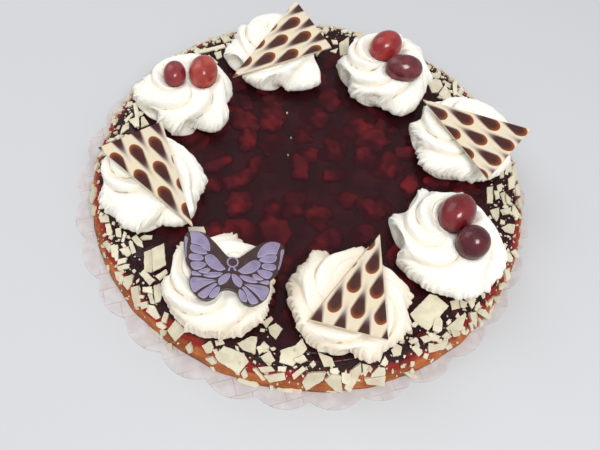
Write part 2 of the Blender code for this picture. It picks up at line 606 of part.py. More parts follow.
def side_flakes():
    """Return the flakes on the side of the crust: the measured ones, then evenly strewn ones."""
    draw = random.Random(23)
    spots = [(measured_outline(numbers), side_place(bearing, level))
             for bearing, level, numbers in SIDE_FLAKES]
    first, last = 18.0, 202.0
    for index in range(STREWN_AT_SIDE):
        share = (index + 0.5 + draw.uniform(-0.3, 0.3)) / STREWN_AT_SIDE
        length = draw.uniform(*STREWN_SIDE_SIZES)
        outline = strewn_outline(draw, length, length * draw.uniform(0.5, 0.8))
        place = side_place(first + (last - first) * share, draw.uniform(*STREWN_SIDE_BAND))
        spots.append((outline, place @ Matrix.Rotation(draw.uniform(0.0, math.pi), 4, "Z")))
    thickness = FLAKE_THICKNESS + FLAKE_SINK
    return [prism("flake", outline, thickness, place) for outline, place in spots]


def join_flakes(body, flakes):
    """Fuse the flakes to what they lie on with one union on a collection."""
    group = bpy.data.collections.new(body.name + "_flakes")
    bpy.context.scene.collection.children.link(group)
    for flake in flakes:
        piece = bpy.data.objects.new("flake", flake)
        group.objects.link(piece)
        piece.hide_render = True
        piece.display_type = "WIRE"
    union = body.modifiers.new("flakes", "BOOLEAN")
    union.operation = "UNION"
    union.operand_type = "COLLECTION"
    union.collection = group
    union.solver = "EXACT"
    apply_modifiers(body)
    for piece in list(group.objects):
        bpy.data.objects.remove(piece, do_unlink=True)
    bpy.data.collections.remove(group)


def apply_modifiers(body):
    """Replace a body's mesh by what its modifiers make of it."""
    graph = bpy.context.evaluated_depsgraph_get()
    graph.update()
    mesh = bpy.data.meshes.new_from_object(body.evaluated_get(graph))
    body.modifiers.clear()
    body.data = mesh


# ---------------------------------------------------------------- what the cream carries


def plate_matrix(plate):
    """Return the place of a flat piece: +X is its heading, raised by pitch, rolled by bank."""
    return (
        Matrix.Translation((plate.x * MM, plate.y * MM, plate.z * MM))
        @ Matrix.Rotation(math.radians(plate.heading), 4, "Z")
        @ Matrix.Rotation(-math.radians(plate.pitch), 4, "Y")
        @ Matrix.Rotation(math.radians(plate.bank), 4, "X")
    )


def triangle_outline():
    """Return the chocolate triangle: its sharp corner at the origin, its axis along +X."""
    axis = math.sqrt(PLATE_SIDE**2 - (PLATE_BASE / 2) ** 2)
    return [(0.0, 0.0), (axis, -PLATE_BASE / 2), (axis, PLATE_BASE / 2)]


def butterfly_outline():
    """Return the butterfly's outline, with its head at the origin and its wings up +Y."""
    right = [(x * BUTTERFLY_HALF_SPAN, y * BUTTERFLY_HALF_SPAN) for x, y in WING_OUTLINE]
    left = [(-x, y) for x, y in right[1:-1]]
    corners = list(reversed(right)) + left
    outline = []
    for index, corner in enumerate(corners):
        following = corners[(index + 1) % len(corners)]
        before = corners[index - 1]
        after = corners[(index + 2) % len(corners)]
        outline.append(corner)
        outline.append(tuple(
            (9 * (corner[axis] + following[axis]) - before[axis] - after[axis]) / 16
            for axis in range(2)
        ))
    return outline


def build_triangle(name):
    """One chocolate triangle."""
    place = plate_matrix(TRIANGLES[name])
    return add_object(name, prism(name, triangle_outline(), PLATE_THICKNESS, place), "ivory")


def build_butterfly():
    """The chocolate butterfly, a flat plate."""
    place = plate_matrix(BUTTERFLY)
    mesh = prism("butterfly", butterfly_outline(), BUTTERFLY_THICKNESS, place)
    return add_object("butterfly", mesh, "cocoa")


def grape_place(grape):
    """Return the place of a grape: +Z is its long axis."""
    return (
        Matrix.Translation((grape.x * MM, grape.y * MM, grape.z * MM))
        @ Matrix.Rotation(math.radians(grape.heading), 4, "Z")
        @ Matrix.Rotation(math.radians(90.0 - grape.pitch), 4, "Y")
    )


def grape_mesh(name, grape, grow=0.0):
    """Return a grape's mesh, its half axes grown by the given clearance."""
    mesh = bpy.data.meshes.new(name)
    body = bmesh.new()
    bmesh.ops.create_uvsphere(
        body, u_segments=GRAPE_SEGMENTS, v_segments=GRAPE_RINGS, radius=1.0
    )
    half = Vector((grape.width, grape.width, grape.length)) * (0.5 * MM)
    half += Vector((grow, grow, grow))
    place = grape_place(grape) @ Matrix.Diagonal((half.x, half.y, half.z, 1.0))
    bmesh.ops.transform(body, matrix=place, verts=body.verts)
    body.to_mesh(mesh)
    body.free()
    return mesh


def build_grape(name):
    """One grape."""
    return add_object(name, grape_mesh(name, GRAPES[name]), "grape", 60)


# ---------------------------------------------------------------- whipped cream


@dataclass(frozen=True)
class Fold:
    """One fold of cream: its direction and width in radians, and its depth."""

    start: float
    width: float
    depth: float


def folds_of(rosette):
    """Return the folds between the notches of a rosette, each of its own depth."""
    draw = random.Random(rosette.name)
    folds = []
    for notch, following in zip(rosette.notches, rosette.notches[1:] + rosette.notches[:1]):
        width = math.radians((following - notch) % 360.0)
        folds.append(Fold(math.radians(notch), width, FOLD_DEPTH * draw.uniform(0.8, 1.2)))
    return folds


def fold_rise(share):
    """Return a fold's height across it: a gentle rise, then a steep far edge."""
    if share < FOLD_CREST:
        return math.sin(0.5 * math.pi * share / FOLD_CREST) ** 0.8
    fallen = (share - FOLD_CREST) / (1.0 - FOLD_CREST)
    return math.sqrt(max(1.0 - fallen**2, 0.0))


def cream_point(rosette, fold, share, angle):
    """Return a point of a rosette on a fold, at an angle from its top down to its foot."""
    height = rosette.height * MM
    widest = WIDEST_SHARE * height
    spread = math.sin(angle) ** BULGE
    mean = sum(rosette.reaches) / len(rosette.reaches) * MM
    own = rosette.reach_at(math.degrees(fold.start + fold.width * share)) - mean
    reach = spread * (mean + own * smooth_step(*LOBE_BAND, angle))
    if angle < math.pi / 2:
        level = widest + (height - widest) * math.cos(angle)
    else:
        level = widest * (1.0 - math.cos(angle) / math.cos(TUCK_ANGLE))
    level -= CENTRE_DIP * math.exp(-((angle / DIP_ANGLE) ** 2))
    sway = smooth_step(0.0, SWAY_BAND[0], angle) * smooth_step(TUCK_ANGLE, SWAY_BAND[1], angle)
    level += (fold.depth * fold_rise(share) - 0.75 * FOLD_DEPTH) * sway
    wound = FOLD_TWIST * (1.0 - spread * min(angle / TWIST_END, 1.0))
    turn = fold.start + fold.width * share + wound
    return Vector((
        rosette.x * MM + reach * math.cos(turn),
        rosette.y * MM + reach * math.sin(turn),
        CREAM_FOOT + max(level, 0.0),
    ))


def press_under(point, outline, place):
    """Lower a point of the cream where a flat piece is pressed into it."""
    normal = place.to_3x3() @ Vector((0.0, 0.0, 1.0))
    drop = (point - place.translation).dot(normal) / normal.z
    local = place.inverted() @ (point - Vector((0.0, 0.0, drop)))
    outside = max(outline_distance(local.x, local.y, outline), 0.0)
    under_plate = point.z - drop - CREAM_FOOT - PRESS_GAP
    room = max(under_plate, LEAST_CREAM) + PRESS_SLOPE * outside
    share = (point.z - CREAM_FOOT) / room
    if share > 0.5:
        share = 0.5 + 0.5 * math.tanh(2.0 * (share - 0.5))
    return Vector((point.x, point.y, CREAM_FOOT + room * share))


def outline_distance(x, y, outline):
    """Return the distance from an outline, negative inside it."""
    nearest = math.inf
    inside = False
    for (ax, ay), (bx, by) in zip(outline, outline[1:] + outline[:1]):
        run_x, run_y = bx - ax, by - ay
        share = ((x - ax) * run_x + (y - ay) * run_y) / (run_x**2 + run_y**2)
        share = min(max(share, 0.0), 1.0)
        nearest = min(nearest, math.hypot(x - ax - share * run_x, y - ay - share * run_y))
        if (ay > y) != (by > y) and x < ax + (y - ay) * run_x / run_y:
            inside = not inside
    return -nearest if inside else nearest


def seat_under(point, grape):
    """Lower a point of the cream under and beside a grape, which lies in a shallow seat."""
    place = grape_place(grape)
    half = Vector((grape.width, grape.width, grape.length)) * (0.5 * MM)
    spot = place.inverted() @ point
    up = place.to_3x3().transposed() @ Vector((0.0, 0.0, 1.0))
    spot = Vector([part / size for part, size in zip(spot, half)])
    up = Vector([part / size for part, size in zip(up, half)])
    shadow = spot.length_squared - spot.dot(up)**2 / up.length_squared
    beside = math.sqrt(max(shadow, 0.0)) - 1.0
    slope = SEAT_SLOPE if beside > 0.0 else SEAT_HOLLOW
    highest = grape.z * MM + (slope * beside - SEAT_DEPTH) * half.x
    return Vector((point.x, point.y, min(point.z, highest)))


def carried_plate(name):
    """Return outline and place of a flat piece."""
    if name == "butterfly":
        return butterfly_outline(), plate_matrix(BUTTERFLY)
    return triangle_outline(), plate_matrix(TRIANGLES[name])


def cream_rings(rosette):
    """Return the rings of a rosette from the top down, pressed under what it carries."""
    folds = folds_of(rosette)
    plates = [carried_plate(name) for name in CARRIED[rosette.name] if name not in GRAPES]
    grapes = [GRAPES[name] for name in CARRIED[rosette.name] if name in GRAPES]
    rings = []
    for degrees in (*RING_ANGLES, math.degrees(TUCK_ANGLE)):
        ring = []
        for fold in folds:
            for share in FOLD_STEPS:
                point = cream_point(rosette, fold, share, math.radians(degrees))
                for outline, place in plates:
                    point = press_under(point, outline, place)
                for grape in grapes:
                    point = seat_under(point, grape)
                ring.append(point)
        rings.append(ring)
    return rings


def build_rosette(rosette):
    """One rosette of cream, cut clear of what is pressed into it."""
    rings = cream_rings(rosette)
    top = sum(rings[0], Vector()) / len(rings[0])
    bottom = Vector((rosette.x * MM, rosette.y * MM, CREAM_FOOT))
    mesh = turned_solid(rosette.name, rings, top, bottom)
    cream = add_object(rosette.name, mesh, "cream", 50)
    for name in CARRIED[rosette.name]:
        cut_clear(cream, name)
    return cream


def cut_clear(cream, name):
    """Cut from the cream the space of one piece that it carries, with a gap all round."""
    if name in GRAPES:
        mesh = grape_mesh(name + "_space", GRAPES[name], GAP)
    else:
        outline, place = carried_plate(name)
        middle = Vector((sum(x for x, _ in outline), sum(y for _, y in outline))) / len(outline)
        wide = []
        for x, y in outline:
            away = Vector((x, y)) - middle
            wide.append(tuple(middle + away * (1.0 + 2 * GAP / away.length)))
        lowered = place @ Matrix.Translation((0.0, 0.0, -GAP))
        mesh = prism(name + "_space", wide, PLATE_THICKNESS + 2 * GAP, lowered)
    cutter = add_object(name + "_space", mesh, None)
    cutter.hide_render = True
    cutter.display_type = "WIRE"
    cut = cream.modifiers.new(name, "BOOLEAN")
    cut.operation = "DIFFERENCE"
    cut.object = cutter
    cut.solver = "EXACT"


def main():
    """Build every piece of the tart."""
    clear_scene()
    build_paper()
    build_base()
    build_jelly()
    for rosette in ROSETTES:
        build_rosette(rosette)
    for name in GRAPES:
        build_grape(name)
    for name in TRIANGLES:
        build_triangle(name)
    build_butterfly()


main()
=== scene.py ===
"""The looks of a cherry tart: fine meshes, finishes, light and camera round its solids.

Everything is in metres, +Z up, in the frame of the solids. Sizes and places are written in
millimetres and become metres by MM. Each sub-assembly is a class, each finish a frozen
dataclass, and what repeats or follows a rule is grown by Geometry Nodes.
"""

import json
import logging
import math
import random
from collections.abc import Iterable, Sequence
from dataclasses import dataclass, field
from enum import Enum
from typing import Any

import bmesh
import bpy
import numpy as np
from mathutils import Matrix, Vector, noise

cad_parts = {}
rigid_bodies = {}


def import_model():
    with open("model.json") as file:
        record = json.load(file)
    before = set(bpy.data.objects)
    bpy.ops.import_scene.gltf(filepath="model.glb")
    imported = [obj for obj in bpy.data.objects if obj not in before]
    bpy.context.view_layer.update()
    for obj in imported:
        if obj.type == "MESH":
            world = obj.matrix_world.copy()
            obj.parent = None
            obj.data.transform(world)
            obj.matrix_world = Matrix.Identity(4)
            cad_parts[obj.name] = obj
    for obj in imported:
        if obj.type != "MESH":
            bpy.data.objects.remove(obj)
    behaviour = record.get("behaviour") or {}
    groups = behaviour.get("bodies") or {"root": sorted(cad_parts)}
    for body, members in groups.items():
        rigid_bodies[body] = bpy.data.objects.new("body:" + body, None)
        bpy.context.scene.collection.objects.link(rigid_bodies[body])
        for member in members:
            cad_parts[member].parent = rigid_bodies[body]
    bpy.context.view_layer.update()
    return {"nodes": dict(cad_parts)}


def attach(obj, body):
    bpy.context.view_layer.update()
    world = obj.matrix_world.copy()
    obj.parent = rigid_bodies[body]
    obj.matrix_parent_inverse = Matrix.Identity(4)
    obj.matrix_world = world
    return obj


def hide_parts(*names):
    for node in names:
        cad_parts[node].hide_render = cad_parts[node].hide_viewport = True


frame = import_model()
LOG = logging.getLogger("cherry_tart")

MM = 0.001
GAP = 0.3 * MM
WELD = 0.01 * MM
BODY = "root"
TART_CENTRE = Vector((2.0 * MM, 2.0 * MM, 0.0))
Colour = tuple[float, float, float, float]


# ---------------------------------------------------------------- helpers for numbers and meshes


def tone(red: int, green: int, blue: int) -> Colour:
    """Turn a colour given as 8-bit screen values into linear light.

    Args:
        red: Red, 0 to 255.
        green: Green, 0 to 255.
        blue: Blue, 0 to 255.

    Returns:
        The linear colour with full alpha.
    """
    shares = [value / 255.0 for value in (red, green, blue)]
    linear = [s / 12.92 if s <= 0.04045 else ((s + 0.055) / 1.055) ** 2.4 for s in shares]
    return (*linear, 1.0)


def smooth_step(low: float, high: float, value: Any) -> Any:
    """Rise smoothly from 0 to 1 between two edges.

    Args:
        low: Where the rise starts.
        high: Where it ends; it may lie below low, and then the value falls.
        value: A number or an array.

    Returns:
        The share, of the same shape as value.
    """
    share = np.clip((value - low) / (high - low), 0.0, 1.0)
    return share * share * (3.0 - 2.0 * share)


def hump(rise: tuple, fall: tuple, value: Any) -> Any:
    """Rise smoothly from 0 to 1 and fall back to 0, each between two edges."""
    return smooth_step(*rise, value) * smooth_step(*fall, value)


def rough(points: np.ndarray, size: float, seed: float) -> np.ndarray:
    """Return smooth noise between about -1 and 1 at many points.

    Args:
        points: Points, as rows of three.
        size: Width of the noise's lumps, in metres.
        seed: Shift that picks another part of the noise.

    Returns:
        One value for each row.
    """
    shift = Vector((seed, 1.7 * seed, -0.6 * seed))
    spots = (points / size).reshape(-1, 3).tolist()
    values = [noise.noise(Vector(spot) + shift) for spot in spots]
    return np.array(values).reshape(points.shape[:-1])


def new_object(name: str, mesh: bpy.types.Mesh) -> bpy.types.Object:
    """Link a mesh to the scene under a name.

    Args:
        name: The object's name.
        mesh: Its mesh, with its place in its vertices.

    Returns:
        The new object, at the origin.
    """
    piece = bpy.data.objects.new(name, mesh)
    bpy.context.scene.collection.objects.link(piece)
    return piece


def directions(steps: int) -> np.ndarray:
    """Return evenly spaced directions once round, in radians."""
    return np.linspace(0.0, math.tau, steps, endpoint=False)


def mark(mesh: bpy.types.Mesh, name: str, domain: str, values: Sequence) -> None:
    """Write numbers into a new attribute of a mesh.

    Args:
        mesh: The mesh.
        name: The attribute's name.
        domain: POINT or FACE.
        values: One number for each point or face.
    """
    mesh.attributes.new(name, "FLOAT", domain).data.foreach_set("value", values)


def mesh_of(name: str, points: Iterable, faces: Iterable, smooth: bool = True) -> bpy.types.Mesh:
    """Make a mesh from points and faces.

    Args:
        name: The mesh's name.
        points: Points in metres.
        faces: Rows of point numbers.
        smooth: Whether its faces are shaded smooth.

    Returns:
        The mesh.
    """
    mesh = bpy.data.meshes.new(name)
    mesh.from_pydata([tuple(point) for point in points], [], [tuple(face) for face in faces])
    mesh.update()
    if smooth:
        mesh.shade_smooth()
    return mesh


def turned_mesh(name: str, rings: np.ndarray, closed: bool = True) -> bpy.types.Mesh:
    """Make a mesh from rings of points, from the top down, with a fan at each end.

    Args:
        name: The mesh's name.
        rings: Points as an array of rings x steps x 3, each ring counter-clockwise from above.
        closed: Whether both ends get their fans.

    Returns:
        The mesh, with its faces outwards.
    """
    count, steps, _ = rings.shape
    points = rings.reshape(-1, 3)
    ring = np.arange(steps)
    after = (ring + 1) % steps
    above = (np.arange(count - 1) * steps)[:, None]
    quads = np.stack(
        [above + ring, above + steps + ring, above + steps + after, above + after], axis=-1
    )
    faces = quads.reshape(-1, 4).tolist()
    if closed:
        ends = np.array([rings[0].mean(axis=0), rings[-1].mean(axis=0)])
        points = np.concatenate([points, ends])
        top, last = count * steps, (count - 1) * steps
        faces += [[top, a, b] for a, b in zip(ring.tolist(), after.tolist())]
        faces += [[top + 1, last + b, last + a] for a, b in zip(ring.tolist(), after.tolist())]
    return mesh_of(name, points.tolist(), faces)


def body_faces(base: int, count: int, levels: int = 3) -> list[list[int]]:
    """Return the faces of a closed body made of rings of points, from its underside up.

    Args:
        base: Number of its first point.
        count: Points in each ring, counter-clockwise from above.
        levels: How many rings there are.

    Returns:
        Its flanks, then its upper face and its underside.
    """
    faces = []
    last = base + (levels - 1) * count
    for low in range(base, last, count):
        for i in range(count):
            k = (i + 1) % count
            faces.append([low + i, low + k, low + count + k, low + count + i])
    faces.append([last + i for i in range(count)])
    faces.append([base + i for i in reversed(range(count))])
    return faces


def mesh_of_body(name: str, body: bmesh.types.BMesh, smooth: bool = True) -> bpy.types.Mesh:
    """Turn a bmesh into a mesh and free it.

    Args:
        name: The mesh's name.
        body: The bmesh.
        smooth: Whether its faces are shaded smooth.

    Returns:
        The mesh.
    """
    mesh = bpy.data.meshes.new(name)
    body.to_mesh(mesh)
    body.free()
    if smooth:
        mesh.shade_smooth()
    return mesh


def evaluated_mesh(piece: bpy.types.Object) -> bpy.types.Mesh:
    """Return a plain copy of an object's mesh with its modifiers applied.

    Args:
        piece: The object.

    Returns:
        The copy.
    """
    graph = bpy.context.evaluated_depsgraph_get()
    graph.update()
    return bpy.data.meshes.new_from_object(piece.evaluated_get(graph), depsgraph=graph)


def welded_copy(node: str) -> bmesh.types.BMesh:
    """Return a solid's mesh as one connected body whose flat faces are whole.

    Args:
        node: Name of the solid's node.

    Returns:
        A new bmesh, which the caller frees.
    """
    body = bmesh.new()
    body.from_mesh(frame["nodes"][node].data)
    bmesh.ops.remove_doubles(body, verts=body.verts, dist=WELD)
    bmesh.ops.dissolve_limit(
        body, angle_limit=math.radians(0.5), verts=body.verts, edges=body.edges
    )
    return body


class Slot(Enum):
    """The material slots of the record."""

    PAPER = "paper"
    CRUST = "crust"
    JELLY = "jelly"
    CREAM = "cream"
    GRAPE = "grape"
    IVORY = "ivory"
    COCOA = "cocoa"


def settle(
    name: str,
    mesh: bpy.types.Mesh,
    slot: Slot,
    material: bpy.types.Material | None = None,
    replaced: Sequence[str] = (),
) -> None:
    """Make a finished mesh a piece of the tart: dress it, let it ride and report it.

    Args:
        name: The piece's name.
        mesh: Its mesh, with its place in its vertices.
        slot: The record's slot that its finish belongs to; not used.
        material: Its material, or None where its mesh holds one.
        replaced: The solids that it stands for.
    """
    piece = new_object(name, mesh)
    if material is not None:
        mesh.materials.clear()
        mesh.materials.append(material)
    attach(piece, BODY)
    if replaced:
        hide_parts(*replaced)
    LOG.info("%s: %d faces", name, len(mesh.polygons))


# ---------------------------------------------------------------- node trees


class NodeTree:
    """A node tree, with short calls for the nodes that shapes and finishes share."""

    def __init__(self, tree: bpy.types.NodeTree) -> None:
        """Take the tree to fill."""
        self.tree = tree

    def feed(self, socket: bpy.types.NodeSocket, value: Any) -> None:
        """Set a socket to a value, or link it to another socket.

        Args:
            socket: The input to feed.
            value: A value, or the socket that gives it.
        """
        if isinstance(value, bpy.types.NodeSocket):
            self.tree.links.new(value, socket)
        else:
            socket.default_value = value

    def node(self, kind: str, inputs: dict | None = None, **settings: Any) -> bpy.types.Node:
        """Add a node.

        Args:
            kind: The node's type.
            inputs: Sockets by name or number, each with a value or a socket to link.
            settings: The node's own properties.

        Returns:
            The node.
        """
        node = self.tree.nodes.new(kind)
        for key, value in settings.items():
            setattr(node, key, value)
        for key, value in (inputs or {}).items():
            self.feed(node.inputs[key], value)
        return node

    def math(self, operation: str, *values: Any, clamp: bool = False) -> Any:
        """Add a math node and return its result."""
        settings = {"operation": operation, "use_clamp": clamp}
        return self.node("ShaderNodeMath", dict(enumerate(values)), **settings).outputs[0]

    def less(self, first: Any, second: Any) -> Any:
        """Return the first value less the second."""
        return self.math("SUBTRACT", first, second)

    def times(self, first: Any, second: Any) -> Any:
        """Return the product of two values."""
        return self.math("MULTIPLY", first, second)

    def square(self, value: Any) -> Any:
        """Return a value's square."""
        return self.math("POWER", value, 2.0)

    def parts(self, vector: Any) -> tuple:
        """Split a vector into its three parts."""
        return tuple(self.node("ShaderNodeSeparateXYZ", {0: vector}).outputs)

    def scaled(self, vector: Any, factor: Any) -> Any:
        """Return a vector times a number."""
        inputs = {0: vector, 3: factor}
        return self.node("ShaderNodeVectorMath", inputs, operation="SCALE").outputs[0]


class GrowthRule(NodeTree):
    """A Geometry Nodes tree with named inputs, which grows one finished mesh."""

    def __init__(self, name: str) -> None:
        """Start an empty tree.

        Args:
            name: The tree's name.
        """
        super().__init__(bpy.data.node_groups.new(name, "GeometryNodeTree"))
        self.name = name
        for way in ("INPUT", "OUTPUT"):
            self.tree.interface.new_socket(
                "Geometry", in_out=way, socket_type="NodeSocketGeometry"
            )
        self.entry = self.tree.nodes.new("NodeGroupInput")
        self.values: dict[str, Any] = {}

    def size(self, name: str, value: Any, kind: str = "NodeSocketFloat") -> bpy.types.NodeSocket:
        """Add a named input.

        Args:
            name: The input's name.
            value: What the modifier sets it to.
            kind: Its socket type.

        Returns:
            The socket that gives the value inside the tree.
        """
        socket = self.tree.interface.new_socket(name, in_out="INPUT", socket_type=kind)
        self.values[socket.identifier] = value
        return self.entry.outputs[name]

    def draw(self, low: Any, high: Any, seed: Any, kind: str = "FLOAT") -> bpy.types.NodeSocket:
        """Draw a random value for each point.

        Args:
            low: The least value.
            high: The largest value.
            seed: The draw's seed.
            kind: FLOAT_VECTOR, FLOAT or INT.

        Returns:
            The drawn value.
        """
        first, result = {"FLOAT_VECTOR": (0, 0), "FLOAT": (2, 1), "INT": (4, 2)}[kind]
        inputs = {first: low, first + 1: high, 8: seed}
        return self.node("FunctionNodeRandomValue", inputs, data_type=kind).outputs[result]

    def grow(
        self,
        carrier: bpy.types.Object,
        geometry: bpy.types.NodeSocket,
        material: bpy.types.Material,
    ) -> bpy.types.Mesh:
        """End the tree, run it on a carrier and return the plain mesh.

        Args:
            carrier: The object that the tree starts from; it is removed.
            geometry: The socket with the grown shape.
            material: What every face gets.

        Returns:
            The grown mesh.
        """
        realised = self.node("GeometryNodeRealizeInstances", {"Geometry": geometry})
        dressed = self.node(
            "GeometryNodeSetMaterial",
            {"Geometry": realised.outputs["Geometry"], "Material": material},
        )
        self.node("NodeGroupOutput", {"Geometry": dressed.outputs["Geometry"]})
        modifier = carrier.modifiers.new(self.name, "NODES")
        modifier.node_group = self.tree
        for identifier, value in self.values.items():
            modifier[identifier] = value
        mesh = evaluated_mesh(carrier)
        carrier.modifiers.remove(modifier)
        bpy.data.objects.remove(carrier, do_unlink=True)
        return mesh


@dataclass(frozen=True)
class Scatter:
    """Loose pieces of a few kinds, spread on a carrier by a fixed draw.

    Sizes are shares of the kinds' own size, spacing and lifts are in metres, tilt in radians.
    """

    name: str
    spacing: float
    smallest: float
    largest: float
    tilt: float
    sink: float
    lift: float
    seed: int

    def spread(
        self,
        carrier: bpy.types.Object,
        kinds: Sequence[bpy.types.Mesh],
        material: bpy.types.Material,
    ) -> bpy.types.Mesh:
        """Spread the kinds over a carrier.

        Args:
            carrier: A surface whose faces carry the attribute cover, the share of pieces kept.
            kinds: The shapes to pick from.
            material: Their material.

        Returns:
            One mesh with every loose piece.
        """
        shelf = bpy.data.collections.new(self.name + "_kinds")
        for number, kind in enumerate(kinds):
            shelf.objects.link(bpy.data.objects.new(f"{self.name}_kind_{number:02d}", kind))
        rule = GrowthRule(self.name)
        seed = rule.size("Seed", self.seed, "NodeSocketInt")
        spacing, smallest, largest, tilt, sink, lift = (
            rule.size(name.capitalize(), getattr(self, name))
            for name in ("spacing", "smallest", "largest", "tilt", "sink", "lift")
        )
        cover = rule.node(
            "GeometryNodeInputNamedAttribute", {"Name": "cover"}, data_type="FLOAT"
        ).outputs[0]
        spots = rule.node(
            "GeometryNodeDistributePointsOnFaces",
            {
                "Mesh": rule.entry.outputs["Geometry"],
                "Distance Min": spacing,
                "Density Max": 4.0 / self.spacing**2,
                "Density Factor": cover,
                "Seed": seed,
            },
            distribute_method="POISSON",
        )
        height = rule.draw(rule.times(sink, -1.0), lift, seed)
        outwards = rule.scaled(spots.outputs["Normal"], height)
        lifted = rule.node(
            "GeometryNodeSetPosition", {"Geometry": spots.outputs["Points"], "Offset": outwards}
        ).outputs[0]
        down = rule.times(tilt, -1.0)
        least = rule.node("ShaderNodeCombineXYZ", {0: down, 1: down, 2: 0.0}).outputs[0]
        most = rule.node("ShaderNodeCombineXYZ", {0: tilt, 1: tilt, 2: math.tau}).outputs[0]
        lean = rule.draw(least, most, rule.math("ADD", seed, 1.0), "FLOAT_VECTOR")
        turned = rule.node(
            "FunctionNodeRotateRotation",
            {
                "Rotation": spots.outputs["Rotation"],
                "Rotate By": rule.node("FunctionNodeEulerToRotation", {0: lean}).outputs[0],
            },
            rotation_space="LOCAL",
        ).outputs[0]
        shapes = rule.node(
            "GeometryNodeCollectionInfo",
            {"Collection": shelf, "Separate Children": True, "Reset Children": True},
        ).outputs[0]
        placed = rule.node(
            "GeometryNodeInstanceOnPoints",
            {
                "Points": lifted,
                "Instance": shapes,
                "Pick Instance": True,
                "Instance Index": rule.draw(
                    0, len(kinds) - 1, rule.math("ADD", seed, 2.0), "INT"
                ),
                "Rotation": turned,
                "Scale": rule.draw(smallest, largest, rule.math("ADD", seed, 3.0)),
            },
        ).outputs[0]
        mesh = rule.grow(carrier, placed, material)
        for kind in list(shelf.objects):
            bpy.data.objects.remove(kind, do_unlink=True)
        bpy.data.collections.remove(shelf)
        return mesh


# ---------------------------------------------------------------- finishes


class Paint(NodeTree):
    """A material's node tree, with short calls for what the finishes share.

    Sizes, depths and reaches are in metres.
    """

    def __init__(self, name: str, **settings: Any) -> None:
        """Start a material with one Principled shader.

        Args:
            name: The material's name.
            settings: Even values for the shader's sockets, with _ for each space.
        """
        self.material = bpy.data.materials.new(name)
        self.material.use_nodes = True
        super().__init__(self.material.node_tree)
        self.shader = self.tree.nodes["Principled BSDF"]
        self.wear(**settings)

    def place(self, location: Sequence = (0, 0, 0), turn: Sequence = (0, 0, 0)) -> Any:
        """Return object coordinates in a frame of their own.

        Args:
            location: The frame's origin in metres.
            turn: The frame's Euler angles.

        Returns:
            The coordinates' socket.
        """
        spot = self.node("ShaderNodeTexCoord").outputs["Object"]
        inputs = {"Vector": spot, "Location": location, "Rotation": turn}
        return self.node("ShaderNodeMapping", inputs, vector_type="TEXTURE").outputs[0]

    def own(self, name: str) -> Any:
        """Return an attribute of the mesh as a number."""
        return self.node("ShaderNodeAttribute", attribute_name=name).outputs["Fac"]

    def noise(self, vector: Any, size: float, detail: float = 2.0) -> Any:
        """Return noise between 0 and 1 whose lumps have a size."""
        inputs = {"Vector": vector, "Scale": 1.0 / size, "Detail": detail}
        return self.node("ShaderNodeTexNoise", inputs).outputs[0]

    def cells(self, vector: Any, size: float) -> Any:
        """Return the distance from the middles of irregular cells of a size."""
        inputs = {"Vector": vector, "Scale": 1.0 / size}
        return self.node("ShaderNodeTexVoronoi", inputs).outputs["Distance"]

    def between(self, value: Any, low: float, high: float, to: Sequence = (0.0, 1.0)) -> Any:
        """Map a value smoothly from one range to another, and hold it at both ends.

        Args:
            value: The value.
            low: The end of its range that gives the first result.
            high: The end that gives the second, which may lie below the other.
            to: Both results.

        Returns:
            The mapped value.
        """
        inputs = {"Value": value, 1: low, 2: high, 3: to[0], 4: to[1]}
        kind = "ShaderNodeMapRange"
        return self.node(kind, inputs, interpolation_type="SMOOTHSTEP").outputs[0]

    def mix(self, share: Any, first: Any, second: Any) -> Any:
        """Mix two colours by a share."""
        inputs = {0: share, 6: first, 7: second}
        return self.node("ShaderNodeMix", inputs, data_type="RGBA").outputs[2]

    def bump(self, height: Any, depth: float, under: Any = None) -> Any:
        """Return a normal bumped by a height.

        Args:
            height: Height between 0 and 1.
            depth: What a height of 1 stands for.
            under: A normal that is bumped already.

        Returns:
            The normal.
        """
        inputs = {"Height": height, "Distance": depth, "Strength": 1.0}
        if under is not None:
            inputs["Normal"] = under
        return self.node("ShaderNodeBump", inputs).outputs[0]

    def clouds(self, spot: Any, size: float, detail: float, low: float, high: float,
               to: Sequence = (0.0, 1.0)) -> Any:
        """Return soft patches of a size: noise mapped from low and high to a range."""
        return self.between(self.noise(spot, size, detail), low, high, to)

    def frayed(self, value: Any, spot: Any, size: float, detail: float, reach: float) -> Any:
        """Return a distance made uneven by noise of a size, by up to a reach."""
        return self.math("MULTIPLY_ADD", self.noise(spot, size, detail), reach, value)

    def relief(self, spot: Any, size: float, detail: float, depth: float) -> Any:
        """Return a normal bumped by noise of a size and a depth."""
        return self.bump(self.noise(spot, size, detail), depth)

    def wear(self, **sockets: Any) -> bpy.types.Material:
        """Feed the shader's sockets.

        Args:
            sockets: Values or sockets by name, with _ for each space.

        Returns:
            The material.
        """
        for key, value in sockets.items():
            self.feed(self.shader.inputs[key.replace("_", " ")], value)
        return self.material


